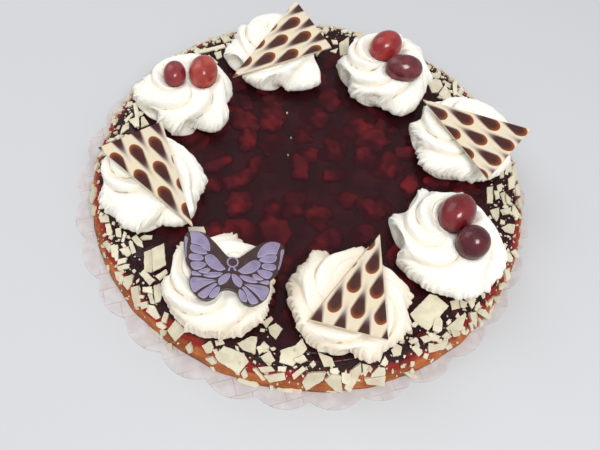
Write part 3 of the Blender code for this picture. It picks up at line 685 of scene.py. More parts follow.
@dataclass(frozen=True)
class CreamFinish:
    """Whipped cream: nearly white and soft, light going a little way into it, with warm painted shade in
    its creases and on its lower skirt, and random warm patches.
    """

    name: str
    # How much painted shade the lower skirt gets, and how high it reaches.
    skirt_shade: float
    colour: Colour = tone(253, 249, 238)
    warm: Colour = tone(237, 223, 202)
    crease_shade: float = 0.35
    least_streaks: float = 0.15
    shade_streaks: float = 0.45
    skirt_top: float = 32.0 * MM
    skirt_rise: float = 12.0 * MM
    skirt_fade: float = 15.0 * MM

    def material(self) -> bpy.types.Material:
        """Build the cream's material.

        Returns:
            The material.
        """
        paint = Paint(
            self.name, Roughness=0.5, Specular_IOR_Level=0.35, Subsurface_Weight=0.35,
            Subsurface_Scale=0.005, Subsurface_Radius=(1.0, 0.85, 0.62),
        )
        spot = paint.place()
        # Random warm patches, partly painted shade: they grow with the skirt shade.
        most = self.least_streaks + self.shade_streaks * self.skirt_shade
        tint_and_shade = paint.clouds(spot, size=9 * MM, detail=3.0, low=0.5, high=0.8, to=(0.0, most))
        # Painted shade: warm colour deep in the creases.
        crease = paint.times(paint.own("crease"), self.crease_shade)
        tint_and_shade = paint.math("MAXIMUM", tint_and_shade, crease)
        # Painted shade: the skirt below a wavy height turns warm.
        _, _, height = paint.parts(spot)
        wavy = paint.frayed(height, spot, size=12 * MM, detail=2.0, reach=8.0 * MM)
        top = self.skirt_top + self.skirt_rise * self.skirt_shade
        skirt = paint.between(wavy, top, top - self.skirt_fade, (0.0, self.skirt_shade))
        tint_and_shade = paint.math("MAXIMUM", tint_and_shade, skirt)
        grain = paint.relief(spot, size=0.9 * MM, detail=3.0, depth=0.14 * MM)
        return paint.wear(
            Base_Color=paint.mix(tint_and_shade, self.colour, self.warm),
            Normal=paint.bump(paint.noise(spot, size=3.5 * MM, detail=2.0), depth=0.35 * MM, under=grain),
        )


@dataclass(frozen=True)
class ClearJelly:
    """The clear dark red glaze over the cherries."""

    colour: Colour = tone(58, 14, 20)
    cover: float = 0.36

    def material(self) -> bpy.types.Material:
        """Build the glaze's material.

        Returns:
            The material.
        """
        paint = Paint(
            "clear_jelly", Base_Color=self.colour, Alpha=self.cover, Specular_IOR_Level=0.42
        )
        spot = paint.place()
        return paint.wear(
            Roughness=paint.clouds(spot, size=25 * MM, detail=2.0, low=0.3, high=0.7, to=(0.07, 0.16)),
            Normal=paint.relief(spot, size=14 * MM, detail=2.0, depth=0.35 * MM),
        )


@dataclass(frozen=True)
class DeepJelly:
    """The dark jelly under the glaze; it glows red where it thins over the crust."""

    deep: Colour = tone(36, 17, 21)
    patch: Colour = tone(60, 25, 31)
    thin: Colour = tone(146, 30, 26)
    rim_starts: float = 122 * MM
    rim_ends: float = 129 * MM
    rim_share: float = 0.7

    def material(self) -> bpy.types.Material:
        """Build the jelly's material.

        Returns:
            The material.
        """
        paint = Paint("deep_jelly", Roughness=0.14, Specular_IOR_Level=0.16)
        spot = paint.place(TART_CENTRE)
        x, y, _ = paint.parts(spot)
        radius = paint.math("SQRT", paint.math("ADD", paint.square(x), paint.square(y)))
        clouds = paint.clouds(spot, size=16 * MM, detail=3.0, low=0.42, high=0.68)
        dark = paint.mix(clouds, self.deep, self.patch)
        ragged = paint.frayed(radius, spot, size=7 * MM, detail=3.0, reach=12 * MM)
        rim = paint.between(ragged, self.rim_starts, self.rim_ends, (0.0, self.rim_share))
        return paint.wear(
            Base_Color=paint.mix(rim, dark, self.thin),
            Normal=paint.relief(spot, size=3 * MM, detail=3.0, depth=0.25 * MM),
        )


@dataclass(frozen=True)
class CherryFlesh:
    """Soft cherries in the jelly, darker the deeper they lie and only in parts lit through it."""

    deep: Colour = tone(56, 21, 27)
    dim: Colour = tone(108, 38, 46)
    flesh: Colour = tone(166, 46, 48)
    dark_below: float = 13.4 * MM
    lit_above: float = 17.7 * MM

    def material(self) -> bpy.types.Material:
        """Build the cherries' material.

        Returns:
            The material.
        """
        paint = Paint("cherry_flesh", Roughness=0.6, Specular_IOR_Level=0.0)
        spot = paint.place()
        _, _, height = paint.parts(spot)
        clouds = paint.clouds(spot, size=13 * MM, detail=3.0, low=0.38, high=0.66)
        red = paint.mix(clouds, self.dim, self.flesh)
        wavy = paint.frayed(height, spot, size=8 * MM, detail=4.0, reach=3.0 * MM)
        lit = paint.between(wavy, self.dark_below, self.lit_above)
        return paint.wear(Base_Color=paint.mix(lit, self.deep, red))


@dataclass(frozen=True)
class BakedCrust:
    """Golden brown flan crust, stained red by the jelly along its shoulder."""

    gold: Colour = tone(184, 106, 56)
    brown: Colour = tone(146, 78, 42)
    pale: Colour = tone(214, 152, 102)
    stain: Colour = tone(146, 40, 32)
    soaked: Colour = tone(42, 14, 17)
    pale_share: float = 0.5
    stain_band: tuple = (13.0 * MM, 15.5 * MM)
    soaked_band: tuple = (14.6 * MM, 16.2 * MM)
    pore: float = 1.5 * MM

    def material(self) -> bpy.types.Material:
        """Build the crust's material.

        Returns:
            The material.
        """
        paint = Paint("baked_crust", Roughness=0.55, Specular_IOR_Level=0.2)
        spot = paint.place(TART_CENTRE)
        _, _, height = paint.parts(spot)
        bake = paint.clouds(spot, size=11 * MM, detail=4.0, low=0.36, high=0.64)
        freckles = paint.clouds(spot, size=2.2 * MM, detail=3.0, low=0.56, high=0.72)
        baked = paint.mix(bake, self.gold, self.brown)
        baked = paint.mix(paint.times(freckles, self.pale_share), baked, self.pale)
        stained = paint.between(
            paint.frayed(height, spot, size=8 * MM, detail=3.0, reach=7.0 * MM), *self.stain_band
        )
        soaked = paint.between(
            paint.frayed(height, spot, size=5 * MM, detail=3.0, reach=4.0 * MM), *self.soaked_band
        )
        reddened = paint.mix(stained, baked, self.stain)
        grain = paint.relief(spot, size=1.0 * MM, detail=4.0, depth=0.3 * MM)
        return paint.wear(
            Base_Color=paint.mix(soaked, reddened, self.soaked),
            Normal=paint.bump(paint.cells(spot, self.pore), depth=0.3 * MM, under=grain),
        )


@dataclass(frozen=True)
class IvoryChocolate:
    """White chocolate flakes, here and there stained pink by the jelly, each darkened by its own random
    painted shade.
    """

    colour: Colour = tone(233, 225, 200)
    # Darker ivory: random cloudy tone and each flake's painted shade.
    shade: Colour = tone(198, 189, 163)
    stain: Colour = tone(222, 176, 160)
    painted_shade_share: float = 0.65
    stain_share: float = 0.6
    stain_band: tuple = (17.5 * MM, 13.0 * MM)

    def material(self) -> bpy.types.Material:
        """Build the flakes' material.

        Returns:
            The material.
        """
        paint = Paint(
            "ivory_chocolate", Roughness=0.42, Subsurface_Weight=0.08, Subsurface_Scale=0.002
        )
        spot = paint.place()
        _, _, height = paint.parts(spot)
        # Random cloudy tone, then each flake's painted shade, drawn at random.
        clouds = paint.clouds(spot, size=6 * MM, detail=2.0, low=0.4, high=0.62, to=(0.0, 0.35))
        clouds = paint.math("MULTIPLY_ADD", paint.own("shade"), self.painted_shade_share, clouds)
        smear = paint.clouds(spot, size=5 * MM, detail=3.0, low=0.56, high=0.70)
        low = paint.between(height, *self.stain_band)
        stained = paint.times(paint.times(smear, low), self.stain_share)
        base = paint.mix(clouds, self.colour, self.shade)
        return paint.wear(
            Base_Color=paint.mix(stained, base, self.stain),
            Normal=paint.relief(spot, size=1.6 * MM, detail=3.0, depth=0.12 * MM),
        )


@dataclass(frozen=True)
class GrapeSkin:
    """The glossy skin of one grape, with a light bloom and fine specks."""

    name: str
    colour: Colour
    light: Colour
    speck: Colour = tone(214, 150, 132)
    speck_share: float = 0.22
    dust: Colour = tone(200, 170, 178)
    bloom: float = 0.045

    def material(self) -> bpy.types.Material:
        """Build the skin's material.

        Returns:
            The material.
        """
        paint = Paint(
            self.name, Specular_IOR_Level=0.4, Coat_Weight=0.12, Coat_Roughness=0.06,
            Subsurface_Weight=0.06, Subsurface_Scale=0.002,
        )
        spot = paint.place()
        clouds = paint.clouds(spot, size=8 * MM, detail=2.0, low=0.38, high=0.66)
        specks = paint.between(paint.cells(spot, size=1.3 * MM), low=0.14, high=0.05)
        dust = paint.clouds(spot, size=5 * MM, detail=4.0, low=0.45, high=0.75)
        skin = paint.mix(clouds, self.colour, self.light)
        skin = paint.mix(paint.times(specks, self.speck_share), skin, self.speck)
        return paint.wear(
            Base_Color=paint.mix(paint.times(dust, self.bloom), skin, self.dust),
            Roughness=paint.between(dust, low=0.0, high=1.0, to=(0.2, 0.36)),
            Normal=paint.relief(spot, size=2.5 * MM, detail=2.0, depth=0.12 * MM),
        )


@dataclass(frozen=True)
class DropPrint:
    """White chocolate with a transfer print: rows of dark drops, staggered by half a step.

    The print lies in the plate's own frame: along runs from the sharp corner to the base edge.
    Lengths are in mm, bands give where something starts and where it is complete.
    """

    name: str
    corner: Vector
    turn: tuple
    thickness: float
    first_tip: float
    first_side: float
    row_step: float
    lean: float
    side_step: float = 12.1
    half_width: float = 3.75
    least_width: float = 0.7
    head: float = 5.2
    tail: float = 15.5
    wobble: float = 0.8
    blur: tuple = (0.5, 0.08)
    end_band: tuple = (25.0, 13.0)
    fade_band: tuple = (11.0, 19.0)
    rim_band: tuple = (2.6, -0.6)
    rim_reach: tuple = (9.0, 0.5)
    flat_band: tuple = (-0.5, -0.2)
    ground: Colour = tone(226, 212, 180)
    cloud: Colour = tone(224, 209, 188)
    ink: Colour = tone(68, 32, 28)
    rim: Colour = tone(156, 80, 30)
    fade: Colour = tone(136, 118, 122)

    def half_drop(self, paint: Paint, back: Any) -> Any:
        """Return half the width of a drop: a round head and a straight tail.

        Args:
            paint: The material's tree.
            back: Distance behind the drop's round end.

        Returns:
            Half its width there.
        """
        nose = paint.math("DIVIDE", back, self.head, clamp=True)
        nose = paint.less(1.0, paint.square(paint.less(1.0, nose)))
        nose = paint.times(paint.math("SQRT", nose), self.half_width)
        behind = paint.math("MAXIMUM", paint.less(back, self.head), 0.0)
        tail = paint.math("MULTIPLY_ADD", behind, -self.half_width / self.tail, self.half_width)
        return paint.math("MINIMUM", nose, paint.math("MAXIMUM", tail, self.least_width))

    def drop(self, paint: Paint, along: Any, side: Any, row: int) -> tuple[Any, Any]:
        """Draw the drops of every second row.

        Args:
            paint: The material's tree.
            along: Distance from the sharp corner.
            side: Distance to the left of the plate's axis.
            row: 0 or 1, which rows.

        Returns:
            The ink's cover and its colour.
        """
        half = self.side_step / 2
        back = paint.less(self.first_tip - row * self.row_step, along)
        back = paint.math("FLOORED_MODULO", back, 2 * self.row_step)
        offset = paint.less(side, self.first_side + row * half)
        offset = paint.math("ABSOLUTE", paint.math("WRAP", offset, half, -half))
        to_flank = paint.less(self.half_drop(paint, back), offset)
        sharp, blunt = self.blur
        blur = paint.math("MULTIPLY_ADD", back, blunt, sharp)
        cover = paint.math("ADD", paint.math("DIVIDE", to_flank, blur), 0.5, clamp=True)
        cover = paint.times(cover, paint.between(back, *self.end_band))
        stretched = paint.times(paint.less(back, self.head), self.half_width / self.head)
        far = paint.math("ADD", paint.square(stretched), paint.square(offset))
        to_edge = paint.less(self.half_width, paint.math("SQRT", far))
        on_tail = paint.math("GREATER_THAN", back, self.head)
        inside = paint.math(
            "ADD", paint.times(on_tail, to_flank), paint.times(paint.less(1.0, on_tail), to_edge)
        )
        ring = paint.times(
            paint.between(inside, *self.rim_band), paint.between(back, *self.rim_reach)
        )
        colour = paint.mix(paint.between(back, *self.fade_band), self.ink, self.fade)
        return cover, paint.mix(ring, colour, self.rim)

    def material(self) -> bpy.types.Material:
        """Build the printed chocolate's material.

        Returns:
            The material.
        """
        paint = Paint(self.name, Roughness=0.3, Specular_IOR_Level=0.35)
        spot = paint.place(self.corner, self.turn)
        along, side, height = paint.parts(paint.scaled(spot, 1.0 / MM))
        wobble = paint.noise(spot, size=6 * MM, detail=2.0)
        along = paint.math("ADD", along, paint.times(wobble, self.wobble))
        leaning = paint.times(paint.less(along, self.first_tip), self.lean)
        side = paint.math("ADD", side, leaning)
        ground = paint.mix(paint.between(wobble, low=0.35, high=0.65), self.ground, self.cloud)
        printed = ground
        for row in (0, 1):
            cover, colour = self.drop(paint, along, side, row)
            printed = paint.mix(cover, printed, colour)
        low, high = (self.thickness / MM + under for under in self.flat_band)
        return paint.wear(
            Base_Color=paint.mix(paint.between(height, low, high), ground, printed),
            Normal=paint.relief(spot, size=9 * MM, detail=2.0, depth=0.15 * MM),
        )


@dataclass(frozen=True)
class DarkChocolate:
    """Moulded dark chocolate with a faint sheen and cloudy spots."""

    colour: Colour = tone(58, 38, 36)
    cloud: Colour = tone(70, 49, 46)

    def material(self) -> bpy.types.Material:
        """Build the chocolate's material.

        Returns:
            The material.
        """
        paint = Paint("dark_chocolate", Roughness=0.36)
        spot = paint.place()
        clouds = paint.clouds(spot, size=4 * MM, detail=3.0, low=0.4, high=0.7)
        return paint.wear(
            Base_Color=paint.mix(clouds, self.colour, self.cloud),
            Normal=paint.relief(spot, size=1.2 * MM, detail=3.0, depth=0.1 * MM),
        )


@dataclass(frozen=True)
class LilacChocolate:
    """Lilac chocolate, with a painted highlight in lighter lilac along the bevelled edge of each cell."""

    colour: Colour = tone(147, 136, 165)
    cloud: Colour = tone(131, 119, 148)
    # Lighter lilac: painted highlight along the cells' edges.
    rim: Colour = tone(158, 148, 176)

    def material(self) -> bpy.types.Material:
        """Build the chocolate's material.

        Returns:
            The material.
        """
        paint = Paint("lilac_chocolate", Roughness=0.45, Specular_IOR_Level=0.35)
        spot = paint.place()
        clouds = paint.clouds(spot, size=6 * MM, detail=3.0, low=0.36, high=0.68)
        base = paint.mix(clouds, self.colour, self.cloud)
        # Painted highlight: faces marked as rim turn lighter.
        return paint.wear(
            Base_Color=paint.mix(paint.own("rim"), base, self.rim),
            Normal=paint.relief(spot, size=1.4 * MM, detail=3.0, depth=0.08 * MM),
        )


@dataclass(frozen=True)
class CakePaperFinish:
    """Greaseproof white paper with a faint lattice of thin reddish lines."""

    paper: Colour = tone(207, 203, 204)
    line: Colour = tone(172, 140, 134)
    cloud: Colour = tone(196, 190, 189)
    line_turn: float = math.radians(24)
    line_width: float = 0.22 * MM
    line_share: float = 0.8
    field_width: float = 16 * MM
    field_height: float = 9.5 * MM

    def material(self) -> bpy.types.Material:
        """Build the paper's material.

        Returns:
            The material.
        """
        paint = Paint("cake_paper", Roughness=0.6)
        spot = paint.place(turn=(0.0, 0.0, self.line_turn))
        lattice = paint.node("ShaderNodeTexBrick", {
            "Vector": spot, "Scale": 1.0, "Mortar Size": self.line_width, "Mortar Smooth": 0.6,
            "Brick Width": self.field_width, "Row Height": self.field_height,
        }).outputs["Fac"]
        clouds = paint.clouds(spot, size=7 * MM, detail=4.0, low=0.35, high=0.65)
        worn = paint.clouds(spot, size=17 * MM, detail=2.0, low=0.36, high=0.56, to=(0.0, self.line_share))
        base = paint.mix(clouds, self.paper, self.cloud)
        return paint.wear(
            Base_Color=paint.mix(paint.times(lattice, worn), base, self.line),
            Normal=paint.relief(spot, size=5 * MM, detail=3.0, depth=0.25 * MM),
        )


# ---------------------------------------------------------------- cake paper


@dataclass
class CakePaper:
    """The scalloped paper: a ring of circular arcs, whose outline a node tree works out."""

    scallops: int = 30
    turn: float = math.radians(157.7)
    notch_radius: float = 132.0 * MM
    scallop_radius: float = 136.8 * MM
    thickness: float = 0.8 * MM
    trim: float = 0.9994
    steps: int = 20

    def build(self) -> None:
        """Grow the paper, dress it and settle it."""
        half = math.pi / self.scallops
        chord = self.notch_radius * math.sin(half)
        rise = self.scallop_radius - self.notch_radius * math.cos(half)
        arc = (chord**2 + rise**2) / (2.0 * rise)
        rule = GrowthRule("scalloped_paper")
        count = rule.size("Scallops", float(self.scallops))
        turn = rule.size("Turn", self.turn)
        arc_radius = rule.size("Arc Radius", arc * self.trim)
        arc_centre = rule.size("Arc Centre", (self.scallop_radius - arc) * self.trim)
        thickness = rule.size("Thickness", self.thickness)
        disc = rule.node(
            "GeometryNodeMeshCircle",
            {"Vertices": self.scallops * self.steps, "Radius": 1.0},
            fill_type="NGON",
        ).outputs[0]
        position = rule.node("GeometryNodeInputPosition").outputs[0]
        x, y, _ = rule.parts(position)
        angle = rule.math("ARCTAN2", y, x)
        step = rule.math("DIVIDE", math.tau, count)
        phase = rule.math("DIVIDE", rule.less(angle, turn), step)
        swing = rule.times(rule.less(rule.math("FRACT", phase), 0.5), step)
        across = rule.times(arc_centre, rule.math("SINE", swing))
        out = rule.less(rule.square(arc_radius), rule.square(across))
        reach = rule.times(arc_centre, rule.math("COSINE", swing))
        reach = rule.math("ADD", reach, rule.math("SQRT", out))
        shaped = rule.node(
            "GeometryNodeSetPosition",
            {"Geometry": disc, "Position": rule.scaled(position, reach)},
        ).outputs[0]
        up = rule.node("ShaderNodeCombineXYZ", {2: thickness}).outputs[0]
        raised = rule.node(
            "GeometryNodeExtrudeMesh",
            {"Mesh": shaped, "Offset": up, "Offset Scale": 1.0, "Individual": False},
        ).outputs[0]
        under = rule.node("GeometryNodeFlipFaces", {0: shaped}).outputs[0]
        joined = rule.node("GeometryNodeJoinGeometry")
        rule.tree.links.new(raised, joined.inputs[0])
        rule.tree.links.new(under, joined.inputs[0])
        closed = rule.node(
            "GeometryNodeMergeByDistance", {"Geometry": joined.outputs[0], "Distance": WELD}
        ).outputs[0]
        carrier = new_object("paper_seed", bpy.data.meshes.new("paper_seed"))
        mesh = rule.grow(carrier, closed, CakePaperFinish().material())
        settle("cake_paper", mesh, Slot.PAPER, replaced=["paper_liner"])


# ---------------------------------------------------------------- flan base and jelly


@dataclass
class TartForm:
    """The round form of base and jelly, which the flakes lie on."""

    foot_radius: float = 128.8 * MM
    crest_radius: float = 114.0 * MM
    recess_radius: float = 108.0 * MM
    recess_draft: float = 2.0 * MM
    base_bottom: float = 1.1 * MM
    recess_floor: float = 8.0 * MM
    crest_height: float = 15.2 * MM
    side_roundness: float = 2.6
    crag: float = 0.9 * MM
    crag_levels: tuple = (90.0, 62.0, 46.0, 33.0, 20.0, 8.0, 0.0)
    jelly_radius: float = 118.5 * MM
    jelly_top: float = 16.5 * MM
    jelly_lip: float = 0.9 * MM
    jelly_wave: float = 1.0 * MM

    def base_side(self, angle: float) -> tuple[float, float]:
        """Return a place on the base's rounded side.

        Args:
            angle: Its level in radians, from 0 at the foot to a quarter turn at the crest.

        Returns:
            Its radius and its height.
        """
        run = math.cos(angle) ** (2.0 / self.side_roundness)
        rise = math.sin(angle) ** (2.0 / self.side_roundness)
        radius = self.crest_radius + (self.foot_radius - self.crest_radius) * run
        return radius, self.base_bottom + (self.crest_height - self.base_bottom) * rise

    def jelly_reach(self, angle: Any) -> Any:
        """Return the uneven radius of the jelly's edge at an angle or at many."""
        wave = np.sin(4 * angle + 0.7) + 0.8 * np.sin(9 * angle + 2.2) + 0.5 * np.sin(17 * angle)
        return self.jelly_radius + self.jelly_wave * wave / 2.3 - self.jelly_wave

    def unevenness(self, angle: Any, level: Any) -> Any:
        """Return how uneven the crust is at places on its side.

        Args:
            angle: Their directions.
            level: Their level, as a number that grows downwards.

        Returns:
            Values between -1 and 1.
        """
        waves = np.sin(5 * angle + 1.3) + 0.8 * np.sin(13 * angle + 2.0 * level)
        ripple = np.sin(29 * angle + 5.0 * level) + 0.7 * np.sin(41 * angle - 3.0 * level)
        return (waves + ripple) / 3.5

    def side_ring(self, angle: np.ndarray, degrees: float, out: float = 0.0) -> np.ndarray:
        """Return the ring of the base's craggy side at a level.

        Args:
            angle: The points' directions.
            degrees: The level, from the foot (0) to the crest (90).
            out: How far the ring lies outside the side.

        Returns:
            The ring's points.
        """
        radius, height = self.base_side(math.radians(degrees))
        falling = [-level for level in self.crag_levels]
        level = np.interp(-degrees, falling, range(len(falling)))
        swell = self.crag * smooth_step(80.0, 40.0, degrees)
        return self.ring(angle, radius + swell * self.unevenness(angle, level) + out, height)

    def ring(self, angle: np.ndarray, radius: Any, height: Any) -> np.ndarray:
        """Return one ring of points round the tart's middle.

        Args:
            angle: The points' directions.
            radius: Their distance from the middle, one for all or one for each.
            height: Their height, one for all or one for each.

        Returns:
            The points.
        """
        x = TART_CENTRE.x + radius * np.cos(angle)
        y = TART_CENTRE.y + radius * np.sin(angle)
        return np.stack([x, y, np.broadcast_to(height, angle.shape)], axis=-1)

    @staticmethod
    def place(bearing: float, radius: float, height: float = 0.0) -> Matrix:
        """Return a frame at a bearing in degrees and a radius, its +X outwards."""
        turn = Matrix.Rotation(math.radians(bearing), 4, "Z")
        return Matrix.Translation(TART_CENTRE) @ turn @ Matrix.Translation((radius, 0.0, height))


FORM = TartForm()


@dataclass
class FlanBase:
    """The baked base, with craggy sides."""

    steps: int = 620
    side_rings: int = 44
    grain: float = 0.35 * MM
    grain_width: float = 1.6 * MM
    lumps: float = 0.5 * MM
    lump_width: float = 5 * MM
    craggy_from: tuple = (0.0, 0.2)
    craggy_until: tuple = (1.0, 0.97)
    middle_share: float = 0.25

    def build(self) -> None:
        """Build the crust's mesh, dress it and settle it."""
        angle = directions(self.steps)
        recess = [
            FORM.ring(angle, FORM.recess_radius - FORM.recess_draft, FORM.recess_floor),
            FORM.ring(angle, FORM.recess_radius, FORM.crest_height),
        ]
        levels = np.linspace(90.0, 0.0, self.side_rings)
        side = np.array([FORM.side_ring(angle, degrees) for degrees in levels])
        middle_height = self.middle_share * FORM.crest_height
        outwards = side - np.array([TART_CENTRE.x, TART_CENTRE.y, middle_height])
        outwards /= np.linalg.norm(outwards, axis=-1, keepdims=True)
        down = np.linspace(0.0, 1.0, len(side))[:, None]
        craggy = self.lumps * (rough(side, self.lump_width, 3.0) - 0.5)
        craggy += self.grain * rough(side, self.grain_width, 8.0)
        craggy *= hump(self.craggy_from, self.craggy_until, down)
        side = side + outwards * craggy[..., None]
        mesh = turned_mesh("baked_base", np.concatenate([np.array(recess), side]))
        settle("baked_base", mesh, Slot.CRUST, BakedCrust().material(), ["flan_base"])


@dataclass
class CherryFilling:
    """Dark jelly, cherries that lie in it, and the clear glaze that covers them."""

    steps: int = 300
    pool_radius: float = 101.0 * MM
    pool_floor: float = 11.6 * MM
    pool_shares: tuple = (0.25, 0.5, 0.75, 0.95)
    bank: tuple = ((2.0 * MM, 0.4), (4.0 * MM, 0.8), (6.5 * MM, 1.0))
    flange_shares: tuple = (0.2, 0.4, 0.6, 0.8, 0.9)
    flange_drop: float = 0.15 * MM
    lip: tuple = ((0.25 * MM, 0.75), (0.0, 0.4), (0.3 * MM, 0.0))
    lumps: float = 0.3 * MM
    lump_width: float = 6 * MM
    highest_lump: float = 0.1 * MM
    glaze_edge: float = 115.0 * MM
    glaze_shares: tuple = (0.04, 1.0)
    glaze_rings: int = 46
    glaze_slope: tuple = (0.9, 1.0)
    glaze_rim: float = 0.1 * MM
    glaze_depth: float = 0.5 * MM
    glaze_foot: tuple = (7.0 * MM, 2.0 * MM)
    swell: float = 0.12 * MM
    swell_width: float = 16 * MM
    film: float = 0.25 * MM
    cherry_kinds: int = 12
    cherry_stretch: tuple = (0.68, 1.15)
    cherry_lumps: tuple = (0.42, 0.16)
    dent_width: float = 0.16
    dent_depth: float = 0.22
    cherry_width: float = 21.0 * MM
    cherry_height: float = 10.0 * MM
    cherry_shoulder: float = 15.3 * MM
    cherry_squeeze: float = 0.35
    cherry_floor: float = 9.2 * MM
    bed_steps: int = 72
    bed_rings: int = 8
    bed_radii: tuple = (6.0 * MM, 94.0 * MM)
    bed_depth: float = 0.7 * MM
    scatter: Scatter = Scatter(
        name="sunken_cherries", spacing=14.5 * MM, smallest=0.7, largest=1.2,
        tilt=math.radians(10), sink=2.4 * MM, lift=0.0, seed=5,
    )

    def __post_init__(self) -> None:
        """Set the directions of every ring's points."""
        self.angle = directions(self.steps)

    def ring(self, radius: Any, height: Any) -> np.ndarray:
        """Return one ring of points of a radius and a height."""
        return FORM.ring(self.angle, radius, height)

    def jelly(self) -> None:
        """Build the dark jelly: a pool in the recess and a thin layer over the crest."""
        edge = FORM.jelly_reach(self.angle)
        flange = FORM.crest_height + GAP
        top = FORM.jelly_top - self.film
        inner = FORM.recess_radius - GAP
        rings = [self.ring(share * self.pool_radius, self.pool_floor) for share in self.pool_shares]
        for out, share in self.bank:
            height = (1.0 - share) * self.pool_floor + share * top
            rings.append(self.ring(self.pool_radius + out, height))
        for share in self.flange_shares:
            radius = inner + share * (edge - inner)
            rings.append(self.ring(radius, top - self.flange_drop * share))
        upper = len(rings)
        for back, share in self.lip:
            rings.append(self.ring(edge - back, flange + share * FORM.jelly_lip))
        rings.append(self.ring(inner, flange))
        rings.append(self.ring(inner - FORM.recess_draft, FORM.recess_floor + GAP))
        points = np.array(rings)
        lumps = rough(points[:upper], self.lump_width, 5.0) * self.lumps
        points[:upper, :, 2] += np.minimum(lumps, self.highest_lump)
        mesh = turned_mesh("dark_jelly", points)
        settle("dark_jelly", mesh, Slot.JELLY, DeepJelly().material(), ["cherry_jelly"])

    def glaze(self) -> None:
        """Build the clear glaze, whose underside is hidden in the dark jelly."""
        rings = []
        for share in np.linspace(*self.glaze_shares, self.glaze_rings):
            ring = self.ring(share * self.glaze_edge, FORM.jelly_top)
            ring[:, 2] += rough(ring, self.swell_width, 2.0) * self.swell - 0.5 * self.swell
            ring[:, 2] -= self.film * smooth_step(*self.glaze_slope, share)
            rings.append(ring)
        rings[-1][:, 2] = FORM.jelly_top - self.film - self.glaze_rim
        under = FORM.jelly_top - self.film - self.glaze_depth
        rings.append(self.ring(self.glaze_edge - self.glaze_depth, under))
        outer, inner = self.glaze_foot
        rings.append(self.ring(self.pool_radius + outer, under))
        rings.append(self.ring(self.pool_radius + inner, self.pool_floor - self.glaze_depth))
        mesh = turned_mesh("clear_glaze", np.array(rings))
        settle("clear_glaze", mesh, Slot.JELLY, ClearJelly().material())

    def cherry(self, number: int) -> bpy.types.Mesh:
        """Return one soft, dented cherry, its top at the origin's height.

        Args:
            number: Which kind, which sets its dents.

        Returns:
            Its mesh.
        """
        body = bmesh.new()
        bmesh.ops.create_icosphere(body, subdivisions=4, radius=1.0)
        draw = random.Random(100 + number)
        lean = draw.uniform(0.0, math.tau)
        crease = Vector((math.cos(lean), math.sin(lean), draw.uniform(-0.2, 0.4))).normalized()
        stretch = draw.uniform(*self.cherry_stretch)
        large, small = self.cherry_lumps
        for vertex in body.verts:
            away = vertex.co.normalized()
            dent = math.exp(-((away.dot(crease) / self.dent_width) ** 2)) * max(away.z, 0.0)
            swell = 1.0 + large * noise.noise(away * 1.2 + Vector((number * 3.1, 0.0, 0.0)))
            swell += small * noise.noise(away * 2.9 + Vector((0.0, number * 2.3, 0.0)))
            vertex.co = away * (swell - self.dent_depth * dent)
        half = 0.5 * self.cherry_width
        shape = Matrix.Diagonal((half * stretch, half, 0.5 * self.cherry_height, 1.0))
        bmesh.ops.transform(body, matrix=shape, verts=body.verts)
        top = max(vertex.co.z for vertex in body.verts)
        bmesh.ops.translate(body, vec=(0.0, 0.0, -top), verts=body.verts)
        return mesh_of_body(f"cherry_{number}", body)

    def cherries(self) -> None:
        """Spread the cherries through the pool, and keep them between its floor and the film."""
        angle = directions(self.bed_steps)
        radii = np.linspace(*self.bed_radii, self.bed_rings)
        rings = [FORM.ring(angle, radius, FORM.jelly_top - self.bed_depth) for radius in radii]
        bed = turned_mesh("cherry_bed", np.array(rings[::-1]), closed=False)
        bed.flip_normals()
        mark(bed, "cover", "FACE", [1.0] * len(bed.polygons))
        kinds = [self.cherry(number) for number in range(self.cherry_kinds)]
        carrier = new_object("cherry_bed", bed)
        mesh = self.scatter.spread(carrier, kinds, CherryFlesh().material())
        points = np.empty(3 * len(mesh.vertices))
        mesh.vertices.foreach_get("co", points)
        high = np.maximum(points[2::3] - self.cherry_shoulder, 0.0)
        height = np.minimum(points[2::3], self.cherry_shoulder) + self.cherry_squeeze * high
        points[2::3] = np.maximum(height, self.cherry_floor)
        mesh.vertices.foreach_set("co", points)
        settle(self.scatter.name, mesh, Slot.JELLY)

    def build(self) -> None:
        """Build jelly, cherries and glaze."""
        self.jelly()
        self.cherries()
        self.glaze()


# ---------------------------------------------------------------- piped cream


@dataclass(frozen=True)
class Fold:
    """One fold of cream: its direction and width in radians, and its depth."""

    start: float
    width: float
    depth: float


@dataclass(frozen=True)
class Swirl:
    """A piped swirl: its place and height in mm, its notches' directions and its reaches.

    The reaches are measured in mm, every ten degrees round its widest part.
    """

    name: str
    x: float
    y: float
    height: float
    notches: tuple
    reaches: tuple

    def middle(self) -> Vector:
        """Return its middle in metres, as seen from above."""
        return Vector((self.x, self.y)) * MM

    def mean_reach(self) -> float:
        """Return the mean reach in metres."""
        return sum(self.reaches) / len(self.reaches) * MM

    def reach_at(self, degrees: Any) -> Any:
        """Return the reach at one bearing or many, smoothly between the measured ones.

        Args:
            degrees: The bearings.

        Returns:
            The reaches in metres.
        """
        spot = np.asarray(degrees) / 10.0
        index = np.floor(spot).astype(int)
        part = spot - index
        reaches = np.array(self.reaches)
        a, b, c, d = (reaches[(index + step) % 36] for step in (-1, 0, 1, 2))
        bend = (2 * a - 5 * b + 4 * c - d + (3 * b - a - 3 * c + d) * part) * part
        return 0.5 * (2 * b + (c - a + bend) * part) * MM

    def folds(self, depth: float) -> list[Fold]:
        """Return the folds between the notches, each of its own depth.

        Args:
            depth: The folds' mean depth.

        Returns:
            The folds.
        """
        draw = random.Random(self.name)
        folds = []
        for notch, following in zip(self.notches, self.notches[1:] + self.notches[:1]):
            width = math.radians((following - notch) % 360.0)
            folds.append(Fold(math.radians(notch), width, depth * draw.uniform(0.8, 1.2)))
        return folds


